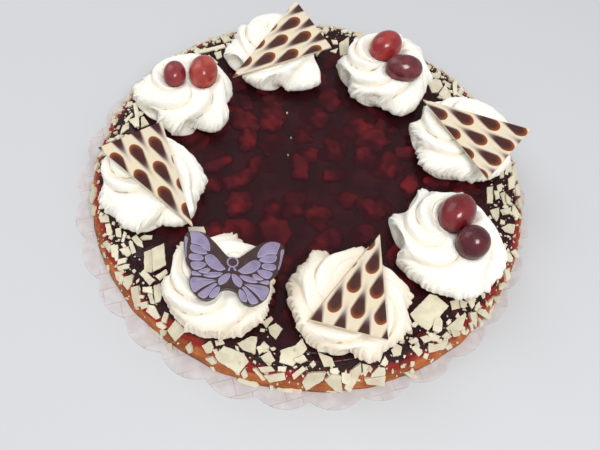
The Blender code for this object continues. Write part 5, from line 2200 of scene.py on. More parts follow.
# Each measured flake: its bearing in degrees and radius in mm from the tart's middle (or its
# bearing and its level up the base's side in degrees), then its corners in mm, each as its
# distance outwards and sideways.
TOP_FLAKES = (
    (0.2, 106.2, (-1.9, -6.2, 1.6, -5.6, 2.0, 6.6, -1.7, 5.3)),
    (3.4, 112.4, (-1.4, -3.4, 1.2, -1.7, 1.7, 3.5, -1.5, 1.6)),
    (8.3, 115.0, (-1.6, -2.7, 1.0, -1.9, 2.1, 4.5, -1.4, 0.1)),
    (41.8, 118.2, (-3.1, -2.8, 3.6, 0.0, 3.6, 3.5, -4.1, -0.7)),
    (43.9, 109.0, (-5.0, -2.9, 0.6, -5.5, 3.7, 0.7, 4.4, 5.3, -3.7, 2.4)),
    (48.3, 108.6, (-6.5, -2.3, -3.3, -4.7, 3.2, -3.2, 6.0, 1.2, 4.1, 4.9, -3.5, 4.1)),
    (51.3, 115.3, (-2.9, 0.4, -0.5, -2.8, 2.6, -2.0, 2.6, 1.5, -1.9, 3.0)),
    (84.6, 102.7, (-7.1, 1.6, -5.7, -1.4, -2.8, -3.7, 12.1, -0.9, 3.6, 4.4)),
    (88.6, 106.6, (-2.1, 0.9, -1.4, -2.4, 2.2, -1.3, 1.3, 2.7)),
    (131.9, 106.6, (-2.6, 2.7, -2.7, -1.0, 2.2, -3.2, 3.0, 1.6)),
    (132.2, 113.6, (0.6, 8.9, -3.4, -8.4, -0.4, -8.7, 3.2, 8.1)),
    (167.6, 114.3, (-2.0, 5.5, -4.5, 4.4, 2.3, -5.9, 4.1, -3.9)),
    (170.9, 106.4, (-0.3, 4.8, -3.9, 1.0, 1.4, -3.5, 2.7, -2.3)),
    (175.0, 115.0, (1.2, 5.7, -2.3, 0.0, -0.8, -4.4, 1.9, -1.2)),
    (211.5, 116.9, (1.8, 1.8, -0.5, 3.4, -2.3, -2.6, 1.0, -2.6)),
    (216.3, 109.2, (1.3, 2.1, -1.1, 4.7, -2.0, 1.0, -0.8, -4.5, 2.5, -3.3)),
    (217.8, 117.1, (0.9, 3.1, -1.8, 2.3, -2.1, -2.3, 2.9, -3.1)),
    (223.7, 109.5, (5.4, 4.0, 2.0, 6.3, -1.9, 1.8, -5.0, -5.7, -0.6, -6.4)),
    (229.4, 108.4, (3.1, 2.2, -2.9, 1.1, -3.5, -1.5, 3.3, -1.8)),
    (233.0, 116.5, (4.8, 3.3, 2.3, 4.2, -2.1, 1.3, -4.3, -3.8, -0.6, -4.9)),
    (260.4, 114.9, (3.9, -1.6, 4.0, 4.8, -4.9, 2.8, -4.4, -0.2, 1.4, -5.7)),
    (263.5, 100.2, (3.9, 0.0, -1.9, 2.2, -3.2, 0.7, 1.2, -2.9)),
    (264.0, 114.9, (1.2, -2.5, 4.0, -0.8, -1.5, 3.5, -3.8, -0.2)),
    (266.0, 119.6, (2.2, 1.6, 0.1, 3.7, -4.2, 0.0, -0.2, -4.1, 2.2, -1.2)),
    (266.0, 104.4, (2.3, -1.9, 4.8, 1.8, -1.8, 4.0, -4.2, -0.2, -1.1, -3.7)),
    (271.8, 113.8, (6.3, -6.4, 7.5, 0.7, -2.2, 6.9, -7.8, 3.8, -3.7, 1.1, -0.1, -6.1)),
    (280.4, 117.8, (3.2, -1.9, 2.9, 3.7, -1.4, 2.6, -4.7, -4.4)),
    (298.1, 118.9, (2.5, -3.0, 2.9, 1.0, -0.8, 3.4, -3.3, 1.4, -1.2, -2.8)),
    (306.4, 119.5, (1.6, -2.0, 2.1, 2.8, -1.5, 1.6, -2.2, -2.5)),
    (311.8, 107.3, (1.3, -10.3, 8.9, -7.7, 4.2, 11.1, -4.0, 9.5, -6.8, 7.0, -3.7, -9.6)),
    (319.5, 114.0, (0.6, -4.5, 2.7, -0.3, 1.5, 2.7, -1.2, 3.6, -3.6, -1.4)),
    (323.0, 119.3, (1.9, -2.9, 1.6, 0.1, -0.8, 3.6, -2.7, -0.7)),
    (349.6, 119.0, (-2.3, -2.6, 2.0, -2.5, 2.9, -1.8, 2.8, 4.2, -0.6, 3.6, -4.8, -0.8)),
    (353.3, 110.0, (-1.3, -2.4, 1.2, -4.5, 2.1, -0.7, 1.5, 5.6, -3.5, 1.9)),
    (355.3, 116.0, (-1.8, -3.1, 2.8, -0.5, 2.6, 3.7, -3.7, -0.1)),
    (359.7, 114.7, (-0.3, -4.9, 2.1, -3.7, 0.6, 5.3, -2.5, 3.3)),
)
SIDE_FLAKES = (
    (4.3, 53.2, (-2.4, -5.3, 1.9, -3.3, 2.7, 6.6, -2.1, 2.1)),
    (9.7, 54.3, (-4.4, -9.7, 1.5, -3.8, 4.4, 10.9, -1.4, 2.5)),
    (206.0, 69.1, (3.6, 0.7, -1.4, 2.6, -1.4, -1.5, 4.0, -3.6)),
    (209.3, 69.8, (2.2, 2.7, -0.1, 4.1, -1.2, 2.0, -1.2, -3.4, 1.4, -4.3)),
    (213.3, 52.4, (0.6, 4.0, -1.7, 2.2, -1.0, -3.0, 2.1, -3.2)),
    (221.4, 70.5, (4.8, -0.5, -1.0, 1.7, -1.0, -1.0, 4.6, -3.1)),
    (225.0, 54.6, (3.1, -1.1, 2.7, 3.5, -1.4, 2.3, -4.8, -1.0, 0.3, -3.6)),
    (229.3, 48.1, (1.8, -2.0, 4.3, 3.0, 1.6, 5.7, -5.1, -3.1, -1.2, -5.7)),
    (235.2, 52.9, (2.5, -3.2, 1.9, 4.0, -0.4, 5.2, -2.9, -1.5, -1.1, -4.5)),
    (238.6, 61.4, (2.8, -0.4, 2.0, 2.5, -2.7, 0.2, -2.1, -2.2)),
    (242.7, 53.1, (2.7, -4.1, 5.0, 2.6, -3.2, 4.7, -4.5, -3.3)),
    (247.4, 32.2, (2.8, 0.8, 1.0, 2.2, -3.7, -0.7, -0.2, -2.3)),
    (251.7, 57.2, (3.0, 0.1, 1.5, 2.3, -1.3, 2.2, -3.8, -0.7, 0.5, -3.9)),
    (253.3, 31.5, (2.1, 0.9, 0.1, 2.9, -2.4, -0.4, 0.2, -3.4)),
    (257.5, 56.6, (3.9, -5.4, 6.0, 6.2, -1.4, 9.0, -4.5, 5.2, -4.5, -5.7, 1.8, -8.3)),
    (268.6, 41.1, (3.5, -2.7, 0.2, 5.0, -3.7, 3.9, 0.1, -6.2)),
    (273.6, 58.5, (3.8, -2.0, -1.7, 3.5, -3.5, 1.8, 1.4, -3.3)),
    (277.0, 41.1, (5.6, -3.1, -0.6, 5.1, -5.2, 6.3, -4.3, -2.7, 0.9, -5.4)),
    (286.5, 42.8, (5.1, -5.2, 7.8, -2.1, -2.8, 3.9, -7.8, 4.0, -4.2, -1.8)),
    (289.4, 56.3, (2.0, -1.5, 3.2, -0.6, -1.7, 3.3, -3.6, -1.2)),
    (291.6, 22.8, (0.4, -4.7, 6.0, 5.5, -2.8, 5.3, -3.5, -6.1)),
    (303.2, 63.4, (3.2, -0.7, 2.2, 2.2, -2.7, 1.1, -2.6, -2.6)),
    (308.7, 48.0, (0.1, -6.6, 2.7, 2.4, 1.1, 5.1, -0.7, 5.1, -3.2, -6.0)),
    (316.1, 70.7, (0.1, -6.9, 4.5, -2.4, 5.1, -0.5, 0.4, 7.6, -0.9, 7.6, -0.9, -7.0)),
    (324.4, 33.0, (6.0, 1.7, 7.4, 5.0, -2.5, 1.6, -6.4, -1.9, -6.0, -4.8)),
    (330.7, 24.9, (2.6, -1.9, 5.7, 4.5, -0.6, 2.6, -7.4, -5.2)),
    (334.2, 39.3, (1.0, -2.1, 3.5, 3.1, -0.6, 1.7, -3.9, -2.8)),
    (337.5, 42.3, (1.6, -4.1, 3.5, 0.4, -1.3, 3.7, -3.9, 0.0)),
    (341.5, 59.3, (-1.0, -3.2, 3.1, -0.8, 2.8, 1.9, -1.4, 3.7, -3.5, -1.5)),
    (356.3, 65.7, (-1.9, -2.4, 1.5, -4.2, 3.9, -0.9, -0.5, 4.7, -2.2, 3.3)),
)
MORE_TOP_FLAKES = (
    (46.2, 115.4, (-2.5, 0.1, -1.0, -3.0, 2.1, -1.0, 1.3, 3.9)),
    (88.0, 98.7, (-1.9, -1.2, 3.0, -1.9, -1.0, 3.0)),
    (171.1, 115.9, (-0.2, 4.6, -1.4, -3.2, -0.2, -4.4, 1.8, 2.9)),
    (213.4, 115.0, (2.3, 1.9, 1.1, 3.1, -2.2, -1.6, -1.2, -3.4)),
    (216.2, 104.4, (2.6, 0.5, -2.4, 2.3, -3.6, 0.2, 0.3, -1.8, 3.1, -1.2)),
    (217.7, 113.5, (1.6, 3.1, -0.7, 3.0, -1.5, -2.8, 0.6, -3.3)),
    (230.4, 119.3, (-0.7, 3.7, -2.8, 0.1, 1.0, -2.9, 2.5, -0.9)),
    (253.6, 119.5, (2.3, -0.9, -0.6, 2.7, -1.8, 0.8, 0.1, -2.6)),
    (221.9, 78.3, (4.3, -1.0, -3.2, 4.5, -4.2, 0.6, 3.2, -4.1)),
)
STACKED_TOP_FLAKES = (
    (0.1, 109.9, (-0.8, -3.7, 1.6, -1.9, 1.1, 3.1, -1.9, 2.5)),
    (5.2, 119.4, (-2.2, -4.9, 1.7, -3.3, 2.4, 5.8, -1.9, 2.5)),
    (43.5, 116.2, (-4.9, -3.8, -2.0, -4.6, 5.2, 4.1, 1.7, 4.3)),
    (172.8, 110.0, (-1.1, 3.9, -3.6, 2.3, 0.1, -5.4, 4.6, -0.7)),
    (224.4, 104.4, (7.1, 5.9, -0.7, 6.2, -6.8, -5.8, 0.4, -6.3)),
    (227.8, 115.5, (1.5, 4.6, -2.5, 4.1, -1.0, -4.7, 2.0, -4.0)),
    (273.6, 118.2, (1.2, -2.6, 1.9, 0.5, -0.2, 3.8, -2.8, 1.6, -0.1, -3.2)),
    (303.0, 118.2, (1.1, -1.9, 1.1, 2.3, -1.0, 2.1, -1.2, -2.6)),
    (311.0, 117.0, (0.5, -4.4, 3.4, -2.8, 3.4, -0.7, -0.6, 3.4, -2.9, 3.9, -3.8, 0.5)),
    (320.5, 116.4, (0.2, -2.4, 2.0, -1.2, 0.9, 2.8, -3.1, 0.8)),
    (359.0, 116.7, (-1.1, -1.8, 1.3, -3.5, 1.4, 1.5, -1.6, 3.8)),
)
MORE_SIDE_FLAKES = (
    (11.6, 68.6, (-3.3, -4.6, 1.7, -3.0, 3.5, 5.1, -1.8, 2.6)),
    (215.8, 63.5, (2.7, 2.2, -0.2, 4.9, -2.1, 0.9, -1.5, -3.7, 1.1, -4.2)),
    (219.4, 67.9, (3.4, 0.3, -1.4, 2.0, -3.2, 0.0, 1.3, -2.2)),
    (222.3, 42.5, (2.4, -0.4, 1.3, 4.1, -2.1, 2.8, -2.3, -1.9, 0.7, -4.5)),
    (238.7, 39.2, (1.6, -1.8, 1.1, 2.2, -1.2, 3.3, -2.1, -0.7, 0.5, -3.0)),
    (264.8, 39.4, (2.9, 2.2, 1.9, 3.6, -2.7, -1.9, -2.1, -3.9)),
    (281.9, 35.1, (0.8, -2.9, 5.0, 0.9, 6.6, 4.6, -4.0, 3.5, -5.6, -1.1, -2.6, -5.0)),
    (281.9, 62.9, (0.8, -2.1, 2.0, 2.0, -1.5, 2.1, -1.2, -2.0)),
    (308.6, 71.6, (1.0, -2.0, 2.8, 0.4, 1.6, 3.7, -2.7, -0.1, -2.6, -2.1)),
    (311.4, 30.9, (1.7, -1.2, 2.0, 2.3, -1.8, 1.6, -1.9, -2.6)),
    (311.9, 58.6, (1.8, -0.5, 1.7, 2.4, -2.1, 1.0, -1.4, -2.9)),
    (316.7, 45.4, (1.2, -1.7, 3.0, -0.2, -1.0, 1.6, -3.3, 0.3)),
    (321.0, 48.5, (0.8, -2.6, 4.9, -1.8, 1.3, 2.3, -2.4, 2.9, -4.6, -0.8)),
    (323.6, 61.9, (-0.1, -2.7, 1.6, -1.6, 1.4, 1.5, -1.4, 3.2, -1.6, -0.4)),
    (327.6, 42.9, (2.3, -0.8, -0.7, 3.3, -1.6, -2.5)),
)
STACKED_SIDE_FLAKES = (
    (232.6, 50.9, (2.6, 0.4, -0.7, 2.5, -2.6, 0.0, 0.7, -2.9)),
    (233.0, 69.5, (1.8, 1.4, 0.3, 3.1, -2.2, -1.8, 0.0, -2.8)),
    (240.3, 31.0, (3.3, -0.2, -0.1, 1.7, -2.8, 1.1, -0.3, -2.5)),
    (261.5, 35.0, (3.3, 0.3, 0.6, 2.0, -3.8, -0.4, 0.0, -1.8)),
    (266.1, 55.9, (2.0, -1.9, 0.1, 4.4, -2.0, 1.9, -0.1, -4.4)),
    (269.7, 61.2, (1.5, -1.9, 0.9, 2.0, -1.6, 2.2, -0.9, -2.3)),
    (284.7, 45.4, (1.5, -2.6, 3.5, 0.4, 1.0, 2.6, -2.4, 2.1, -3.5, -2.5)),
    (292.3, 47.9, (2.0, -4.3, 2.2, 3.3, -1.5, 3.8, -2.8, 0.7, 0.0, -3.5)),
    (294.2, 64.4, (2.3, -0.3, 0.2, 1.9, -3.1, 1.0, 0.6, -2.6)),
    (314.1, 52.8, (0.4, -2.5, 2.4, 1.6, 0.9, 3.2, -3.8, -2.3)),
    (319.0, 41.2, (2.6, -1.2, 2.5, 0.5, -2.3, 1.5, -2.7, -0.8)),
    (322.3, 25.0, (2.2, -1.4, 3.5, 1.4, 1.5, 2.2, -7.1, -2.2)),
    (343.9, 45.5, (1.9, -1.8, 4.2, 1.3, -1.5, 2.1, -4.5, -1.7)),
    (359.6, 55.3, (-1.3, -3.7, 1.4, -3.8, 1.9, 5.8, -2.0, 1.7)),
)
FOOT_FLAKES = (
    (237.6, 128.6, (1.2, -2.3, 0.7, 4.1, -0.7, 5.5, -1.1, -2.0, -0.1, -5.2)),
    (242.6, 130.0, (2.2, 0.7, 0.3, 2.4, -2.4, -0.5, -0.1, -2.6)),
    (253.9, 128.3, (1.3, 0.7, 0.4, 1.5, -1.3, -0.1, -0.4, -2.1)),
    (260.8, 128.4, (2.0, 0.3, -1.1, 2.1, -2.0, -0.3, 1.1, -2.1)),
    (263.3, 128.6, (2.0, 2.7, 0.3, 4.3, -2.2, 1.5, -1.8, -3.1, 1.7, -5.4)),
    (268.0, 128.6, (1.5, -0.7, 1.3, 1.3, -1.3, 0.7, -1.1, -1.3)),
    (271.8, 128.3, (1.9, -4.2, 1.4, 7.0, -0.7, 7.0, -2.2, 1.0, -1.1, -4.3, 0.7, -6.5)),
    (281.7, 128.6, (0.0, -3.0, 0.9, 4.5, -0.5, 1.1, -0.6, -2.6)),
    (300.3, 128.6, (2.9, 0.5, 4.5, 2.5, 4.0, 4.9, -5.9, -2.3, -5.0, -5.6)),
    (328.5, 128.6, (1.0, -3.6, 1.6, 0.8, -0.9, 3.6, -1.7, -0.7)),
)
STRAY_CRUMBS = (
    (117.3, 44.9, (-0.4, 0.5, -0.6, -0.3, 0.4, -0.5, 0.6, 0.3)),
    (126.6, 26.1, (-0.3, 0.5, -0.5, -0.2, 0.3, -0.4, 0.5, 0.2)),
    (153.1, 17.5, (0.0, 0.5, -0.5, 0.1, 0.0, -0.5, 0.5, -0.1)),
    (264.6, 108.3, (0.4, -0.3, 0.3, 0.4, -0.4, 0.3, -0.3, -0.4)),
    (273.3, 104.9, (0.4, -0.3, 0.3, 0.4, -0.4, 0.3, -0.3, -0.4)),
)


@dataclass
class FlakePile:
    """A growing mesh of flat flakes with chipped edges, each with its own random painted shade."""

    seed: int
    step: float = 1.3 * MM
    chip: float = 0.16 * MM
    bevel: float = 0.14 * MM
    bow: float = 0.22 * MM
    bow_reach: float = 5.0 * MM
    slant: float = 0.3
    points: list = field(default_factory=list)
    faces: list = field(default_factory=list)
    painted_shades: list = field(default_factory=list)

    def __post_init__(self) -> None:
        """Start the pile's own draw."""
        self.draw = random.Random(self.seed)

    def chipped(self, outline: Sequence) -> np.ndarray:
        """Return an outline whose edges are broken into small uneven steps.

        Args:
            outline: Its corners, as x and y pairs in metres.

        Returns:
            The broken outline's corners.
        """
        rim = []
        for (ax, ay), (bx, by) in zip(outline, [*outline[1:], outline[0]]):
            length = math.hypot(bx - ax, by - ay)
            count = max(1, round(length / self.step))
            for index in range(count):
                share = index / count
                chip = self.draw.uniform(-self.chip, self.chip) / length if index else 0.0
                rim.append((ax + (bx - ax) * share + (by - ay) * chip,
                            ay + (by - ay) * share - (bx - ax) * chip))
        return np.array(rim)

    def add(self, outline: Sequence, thickness: float, place: Matrix) -> None:
        """Add one flake.

        Args:
            outline: Its outline, counter-clockwise, as x and y pairs in metres.
            thickness: Its thickness along its own +Z.
            place: Its place.
        """
        rim = self.chipped(outline)
        middle = rim.mean(axis=0)
        away = rim - middle
        far = np.maximum(np.linalg.norm(away, axis=1, keepdims=True), 2.5 * self.bevel)
        slant = self.draw.uniform(0.0, self.slant) * min(thickness, float(far.min()))
        axis = self.draw.uniform(0.0, math.tau)
        bend = self.draw.uniform(-1.0, 1.0) * self.bow
        along = (away @ np.array([math.cos(axis), math.sin(axis)])) / self.bow_reach
        rise = np.clip(bend * along**2, -2.0 * self.bow, 2.0 * self.bow)
        base, count = len(self.points), len(rim)
        levels = ((slant, 0.0), (0.0, thickness - self.bevel), (self.bevel, thickness))
        for inset, height in levels:
            flat = middle + away * (1.0 - inset / far)
            self.points += [
                place @ Vector((x, y, height + lift)) for (x, y), lift in zip(flat, rise)
            ]
        self.faces += body_faces(base, count)
        # Each flake's painted shade, drawn at random.
        self.painted_shades += [self.draw.random()] * (2 * count + 2)

    def mesh(self, name: str) -> bpy.types.Mesh:
        """Turn the pile into one mesh.

        Args:
            name: The mesh's name.

        Returns:
            The mesh, with each face's painted shade in an attribute.
        """
        mesh = mesh_of(name, self.points, self.faces, False)
        mark(mesh, "shade", "FACE", self.painted_shades)
        return mesh


@dataclass
class Flakes:
    """White chocolate flakes: measured ones, strewn ones where cream hides them, and crumbs."""

    thickness: float = 1.3 * MM
    sink: float = 0.6 * MM
    tries: int = 4000
    top_seed: int = 11
    top_pile_seed: int = 71
    loose_seed: int = 12
    side_seed: int = 23
    side_pile_seed: int = 83
    tuck: float = 0.93
    wound_bearings: tuple = (0.0, 6.0, 12.0, 18.0)
    crowding: float = 0.75
    hidden: tuple = ((14.0, 38.0), (54.0, 82.0), (92.0, 129.0), (136.0, 164.0), (178.0, 206.0))
    top_count: int = 11
    top_sizes: tuple = (15.0 * MM, 8.0 * MM)
    top_band: tuple = (94.0 * MM, 117.0 * MM)
    top_lengths: tuple = (0.85, 1.15)
    top_widths: tuple = (0.55, 0.95)
    more_top_count: int = 34
    more_top_sizes: tuple = (8.0 * MM, 3.5 * MM)
    limit: float = 122.0 * MM
    tilt: float = math.radians(5.0)
    flat_from: float = 111.0 * MM
    edge_drop: float = 0.3 * MM
    side_count: int = 9
    side_sizes: tuple = (6.0 * MM, 9.5 * MM)
    side_band: tuple = (26.0, 46.0)
    side_widths: tuple = (0.5, 0.8)
    more_side_count: int = 74
    more_side_sizes: tuple = (9.0 * MM, 3.0 * MM)
    more_side_band: tuple = (22.0, 74.0)
    more_side_widths: tuple = (0.45, 0.8)
    back_bearings: tuple = (18.0, 202.0)
    far_bearings: tuple = (14.0, 206.0)
    stacked_tilt: float = math.radians(9.0)
    foot_lean: float = math.radians(38.0)
    foot_height: float = 0.9 * MM
    lift: float = 0.3 * MM
    kinds_count: int = 14
    kinds_widths: tuple = (0.35, 0.95)
    bed_steps: int = 360
    bed_radii: range = range(95, 117, 2)
    bed_levels: range = range(74, 14, -6)
    inner_cover: tuple = (98.0 * MM, 108.0 * MM, 0.15)
    edge_cover: tuple = (110.0 * MM, 116.0 * MM, 0.55)
    least_side_cover: float = 0.35
    side_cover: tuple = (10.0 * MM, 15.0 * MM, 0.65)
    cream_share: float = 1.05
    chip_length: float = 3.6 * MM
    chip_thickness: float = 0.9 * MM
    chips: Scatter = Scatter(
        name="flake_chips", spacing=3.5 * MM, smallest=0.55, largest=1.3, tilt=0.3, sink=0.0,
        lift=0.9 * MM, seed=47,
    )
    crumb_length: float = 1.0 * MM
    crumb_thickness: float = 0.6 * MM
    crumbs: Scatter = Scatter(
        name="flake_crumbs", spacing=2.6 * MM, smallest=0.5, largest=1.5, tilt=0.9, sink=0.0,
        lift=0.3 * MM, seed=59,
    )

    @staticmethod
    def measured(numbers: Sequence) -> list[tuple[float, float]]:
        """Return a measured flake's corners in metres."""
        return [(x * MM, y * MM) for x, y in zip(numbers[::2], numbers[1::2])]

    @staticmethod
    def strewn(draw: random.Random, length: float, width: float) -> list[tuple[float, float]]:
        """Return a broken-edged outline of four or five corners.

        Args:
            draw: The draw that its form comes from.
            length: Its mean length.
            width: Its mean width.

        Returns:
            Its corners.
        """
        corners = draw.choice((4, 4, 5))
        start = draw.uniform(0.0, math.tau)
        outline = []
        for corner in range(corners):
            angle = start + math.tau * (corner + draw.uniform(-0.18, 0.18)) / corners
            reach = draw.uniform(0.85, 1.15)
            outline.append((0.5 * length * reach * math.cos(angle),
                            0.5 * width * reach * math.sin(angle)))
        return outline

    @staticmethod
    def spin(draw: random.Random) -> Matrix:
        """Return a flake's turn in its own plane, taken from a draw."""
        return Matrix.Rotation(draw.uniform(0.0, math.pi), 4, "Z")

    @staticmethod
    def lean(draw: random.Random, steepest: float) -> Matrix:
        """Draw a lean to any side.

        Args:
            draw: The draw that it comes from.
            steepest: Its largest angle.

        Returns:
            The lean.
        """
        axis = draw.uniform(0.0, math.tau)
        side = Vector((math.cos(axis), math.sin(axis), 0.0))
        return Matrix.Rotation(draw.uniform(0.3, 1.0) * steepest, 4, side)

    @staticmethod
    def raised_to(height: float, place: Matrix, outline: list) -> Matrix:
        """Return a place raised or lowered so that the outline's lowest corner has a height."""
        lowest = min((place @ Vector((x, y, 0.0))).z for x, y in outline)
        return Matrix.Translation((0.0, 0.0, height - lowest)) @ place

    def hidden_bearing(self, draw: random.Random) -> float:
        """Draw a bearing among those where the cream hides the flakes.

        Args:
            draw: The draw that it comes from.

        Returns:
            The bearing in degrees.
        """
        share = draw.uniform(0.0, sum(end - start for start, end in self.hidden))
        for start, end in self.hidden:
            if share <= end - start:
                return start + share
            share -= end - start
        return self.hidden[-1][1]

    def top_place(self, draw: random.Random, outline: list, bearing: float,
                  radius: float) -> Matrix:
        """Return the place of a flake that lies on the jelly: level near its edge, else leaning.

        Args:
            draw: The draw that its lean comes from.
            outline: Its outline.
            bearing: Its bearing in degrees.
            radius: Its distance from the tart's middle.

        Returns:
            Its place, sunk a little into the jelly.
        """
        reach = max(math.hypot(x, y) for x, y in outline)
        level = FORM.jelly_top - self.sink
        if radius + reach >= self.flat_from:
            lean = self.lean(draw, self.edge_drop / reach)
            return Matrix.Translation((0.0, 0.0, level)) @ FORM.place(bearing, radius) @ lean
        place = FORM.place(bearing, radius) @ self.lean(draw, self.tilt)
        return self.raised_to(level, place, outline)

    def side_place(self, bearing: float, level: float) -> Matrix:
        """Return the place of a flake flat on the base's rounded side, sunk a little into it.

        Args:
            bearing: Its bearing in degrees.
            level: Its level up the side, from 0 at the foot to 90 at the crest.

        Returns:
            Its place.
        """
        angle = math.radians(level)
        below, above = FORM.base_side(angle - 0.1), FORM.base_side(angle + 0.1)
        slope = math.atan2(above[1] - below[1], below[0] - above[0])
        return (
            FORM.place(bearing, *FORM.base_side(angle))
            @ Matrix.Rotation(slope, 4, "Y")
            @ Matrix.Translation((0.0, 0.0, -self.sink))
        )

    def foot_place(self, outline: list, bearing: float, radius: float) -> Matrix:
        """Return the place of a flake that leans on the base's foot and stands on the paper.

        Args:
            outline: Its outline.
            bearing: Its bearing in degrees.
            radius: Its distance from the tart's middle.

        Returns:
            Its place.
        """
        place = FORM.place(bearing, radius) @ Matrix.Rotation(self.foot_lean, 4, "Y")
        return self.raised_to(self.foot_height, place, outline)

    def stacked(self, draw: random.Random, place: Matrix) -> Matrix:
        """Return a place raised to lie on another flake, and leaning as it then does."""
        up = Matrix.Translation((0.0, 0.0, self.thickness + 0.5 * self.sink))
        return place @ up @ self.lean(draw, self.stacked_tilt)

    def crowded(self, here: Vector, length: float, placed: list) -> bool:
        """Tell whether a flake of a length lies too close to one that is placed already."""
        return any((here - spot).length < self.crowding * (0.5 * length + size)
                   for spot, size in placed)

    def clear_of_cream(self, corners: list[Vector]) -> bool:
        """Tell whether a flake passes every swirl or reaches just under its tucked-in edge.

        Args:
            corners: The flake's corners and its middle.

        Returns:
            Whether it does.
        """
        for swirl in SWIRLS:
            for corner in corners:
                away = corner.to_2d() - swirl.middle()
                bearing = math.degrees(math.atan2(away.y, away.x))
                widest = max(float(swirl.reach_at(bearing - back)) for back in self.wound_bearings)
                if away.length < self.tuck * widest:
                    return False
        return True

    def top_flakes(self) -> FlakePile:
        """Lay the flakes on the jelly.

        Returns:
            The flakes.
        """
        draw = random.Random(self.top_seed)
        pile = FlakePile(self.top_pile_seed)
        placed = []
        for bearing, radius, numbers in TOP_FLAKES:
            outline = self.measured(numbers)
            place = self.top_place(draw, outline, bearing, radius * MM)
            placed.append((place.translation.copy(), max(math.hypot(x, y) for x, y in outline)))
            pile.add(outline, self.thickness, place)
        batches = ((self.top_count, self.top_sizes), (self.more_top_count, self.more_top_sizes))
        for wanted, (largest, smallest) in batches:
            strewn = 0
            for _ in range(self.tries):
                if strewn == wanted:
                    break
                length = largest + (smallest - largest) * strewn / wanted
                length *= draw.uniform(*self.top_lengths)
                outline = self.strewn(draw, length, length * draw.uniform(*self.top_widths))
                place = self.top_place(
                    draw, outline, self.hidden_bearing(draw), draw.uniform(*self.top_band)
                )
                corners = [place @ Vector((x, y, 0.0)) for x, y in outline]
                furthest = max((corner - TART_CENTRE).to_2d().length for corner in corners)
                here = place.translation
                if furthest > self.limit or self.crowded(here, length, placed):
                    continue
                if not self.clear_of_cream(corners + [here]):
                    continue
                placed.append((here.copy(), 0.5 * length))
                pile.add(outline, self.thickness, place)
                strewn += 1
        loose = random.Random(self.loose_seed)
        tables = ((MORE_TOP_FLAKES, False), (STACKED_TOP_FLAKES, True), (STRAY_CRUMBS, False))
        for rows, raised in tables:
            for bearing, radius, numbers in rows:
                outline = self.measured(numbers)
                place = self.top_place(loose, outline, bearing, radius * MM)
                pile.add(outline, self.thickness, self.stacked(loose, place) if raised else place)
        return pile

    def side_flakes(self) -> FlakePile:
        """Lay the flakes on the side of the crust and at its foot.

        Returns:
            The flakes.
        """
        draw = random.Random(self.side_seed)
        pile = FlakePile(self.side_pile_seed)
        thickness = self.thickness + self.sink
        placed = []
        for bearing, level, numbers in SIDE_FLAKES:
            pile.add(self.measured(numbers), thickness, self.side_place(bearing, level))
        first, last = self.back_bearings
        for index in range(self.side_count):
            share = (index + 0.5 + draw.uniform(-0.3, 0.3)) / self.side_count
            length = draw.uniform(*self.side_sizes)
            outline = self.strewn(draw, length, length * draw.uniform(*self.side_widths))
            place = self.side_place(first + (last - first) * share, draw.uniform(*self.side_band))
            placed.append((place.translation.copy(), 0.5 * length))
            pile.add(outline, thickness, place @ self.spin(draw))
        largest, smallest = self.more_side_sizes
        strewn = 0
        for _ in range(self.tries):
            if strewn == self.more_side_count:
                break
            length = largest + (smallest - largest) * strewn / self.more_side_count
            outline = self.strewn(draw, length, length * draw.uniform(*self.more_side_widths))
            place = self.side_place(
                draw.uniform(*self.far_bearings), draw.uniform(*self.more_side_band)
            )
            place = place @ self.spin(draw)
            here = place.translation
            if self.crowded(here, length, placed):
                continue
            placed.append((here.copy(), 0.5 * length))
            pile.add(outline, thickness, place)
            strewn += 1
        for rows, raised in ((MORE_SIDE_FLAKES, False), (STACKED_SIDE_FLAKES, True)):
            for bearing, level, numbers in rows:
                place = self.side_place(bearing, level)
                depth = self.thickness if raised else thickness
                place = self.stacked(draw, place) if raised else place
                pile.add(self.measured(numbers), depth, place)
        for bearing, radius, numbers in FOOT_FLAKES:
            outline = self.measured(numbers)
            pile.add(outline, self.thickness, self.foot_place(outline, bearing, radius * MM))
        return pile

    def kinds(self, size: float, thickness: float, seed: int) -> list[bpy.types.Mesh]:
        """Return flat broken shapes to scatter.

        Args:
            size: Their length in metres.
            thickness: Their thickness in metres.
            seed: Seed of the draw.

        Returns:
            Their meshes.
        """
        draw = random.Random(seed)
        meshes = []
        for number in range(self.kinds_count):
            pile = FlakePile(seed + number, step=0.5 * size, chip=0.03 * size, bevel=0.05 * size)
            outline = self.strewn(draw, size, size * draw.uniform(*self.kinds_widths))
            middle = Matrix.Translation((0.0, 0.0, -0.3 * thickness))
            pile.add(outline, thickness * draw.uniform(0.8, 1.1), middle)
            meshes.append(pile.mesh(f"chip_{number}"))
        return meshes

    def cover(self, spot: Vector) -> float:
        """Return the share of loose flakes that stay at a place.

        Args:
            spot: The place on the jelly or on the side of the crust.

        Returns:
            The share.
        """
        away = spot - TART_CENTRE
        share = 0.0
        for starts, ends, part in (self.inner_cover, self.edge_cover):
            share += part * smooth_step(starts, ends, away.to_2d().length)
        low, high, part = self.side_cover
        return float(share * (self.least_side_cover + part * smooth_step(low, high, away.z)))

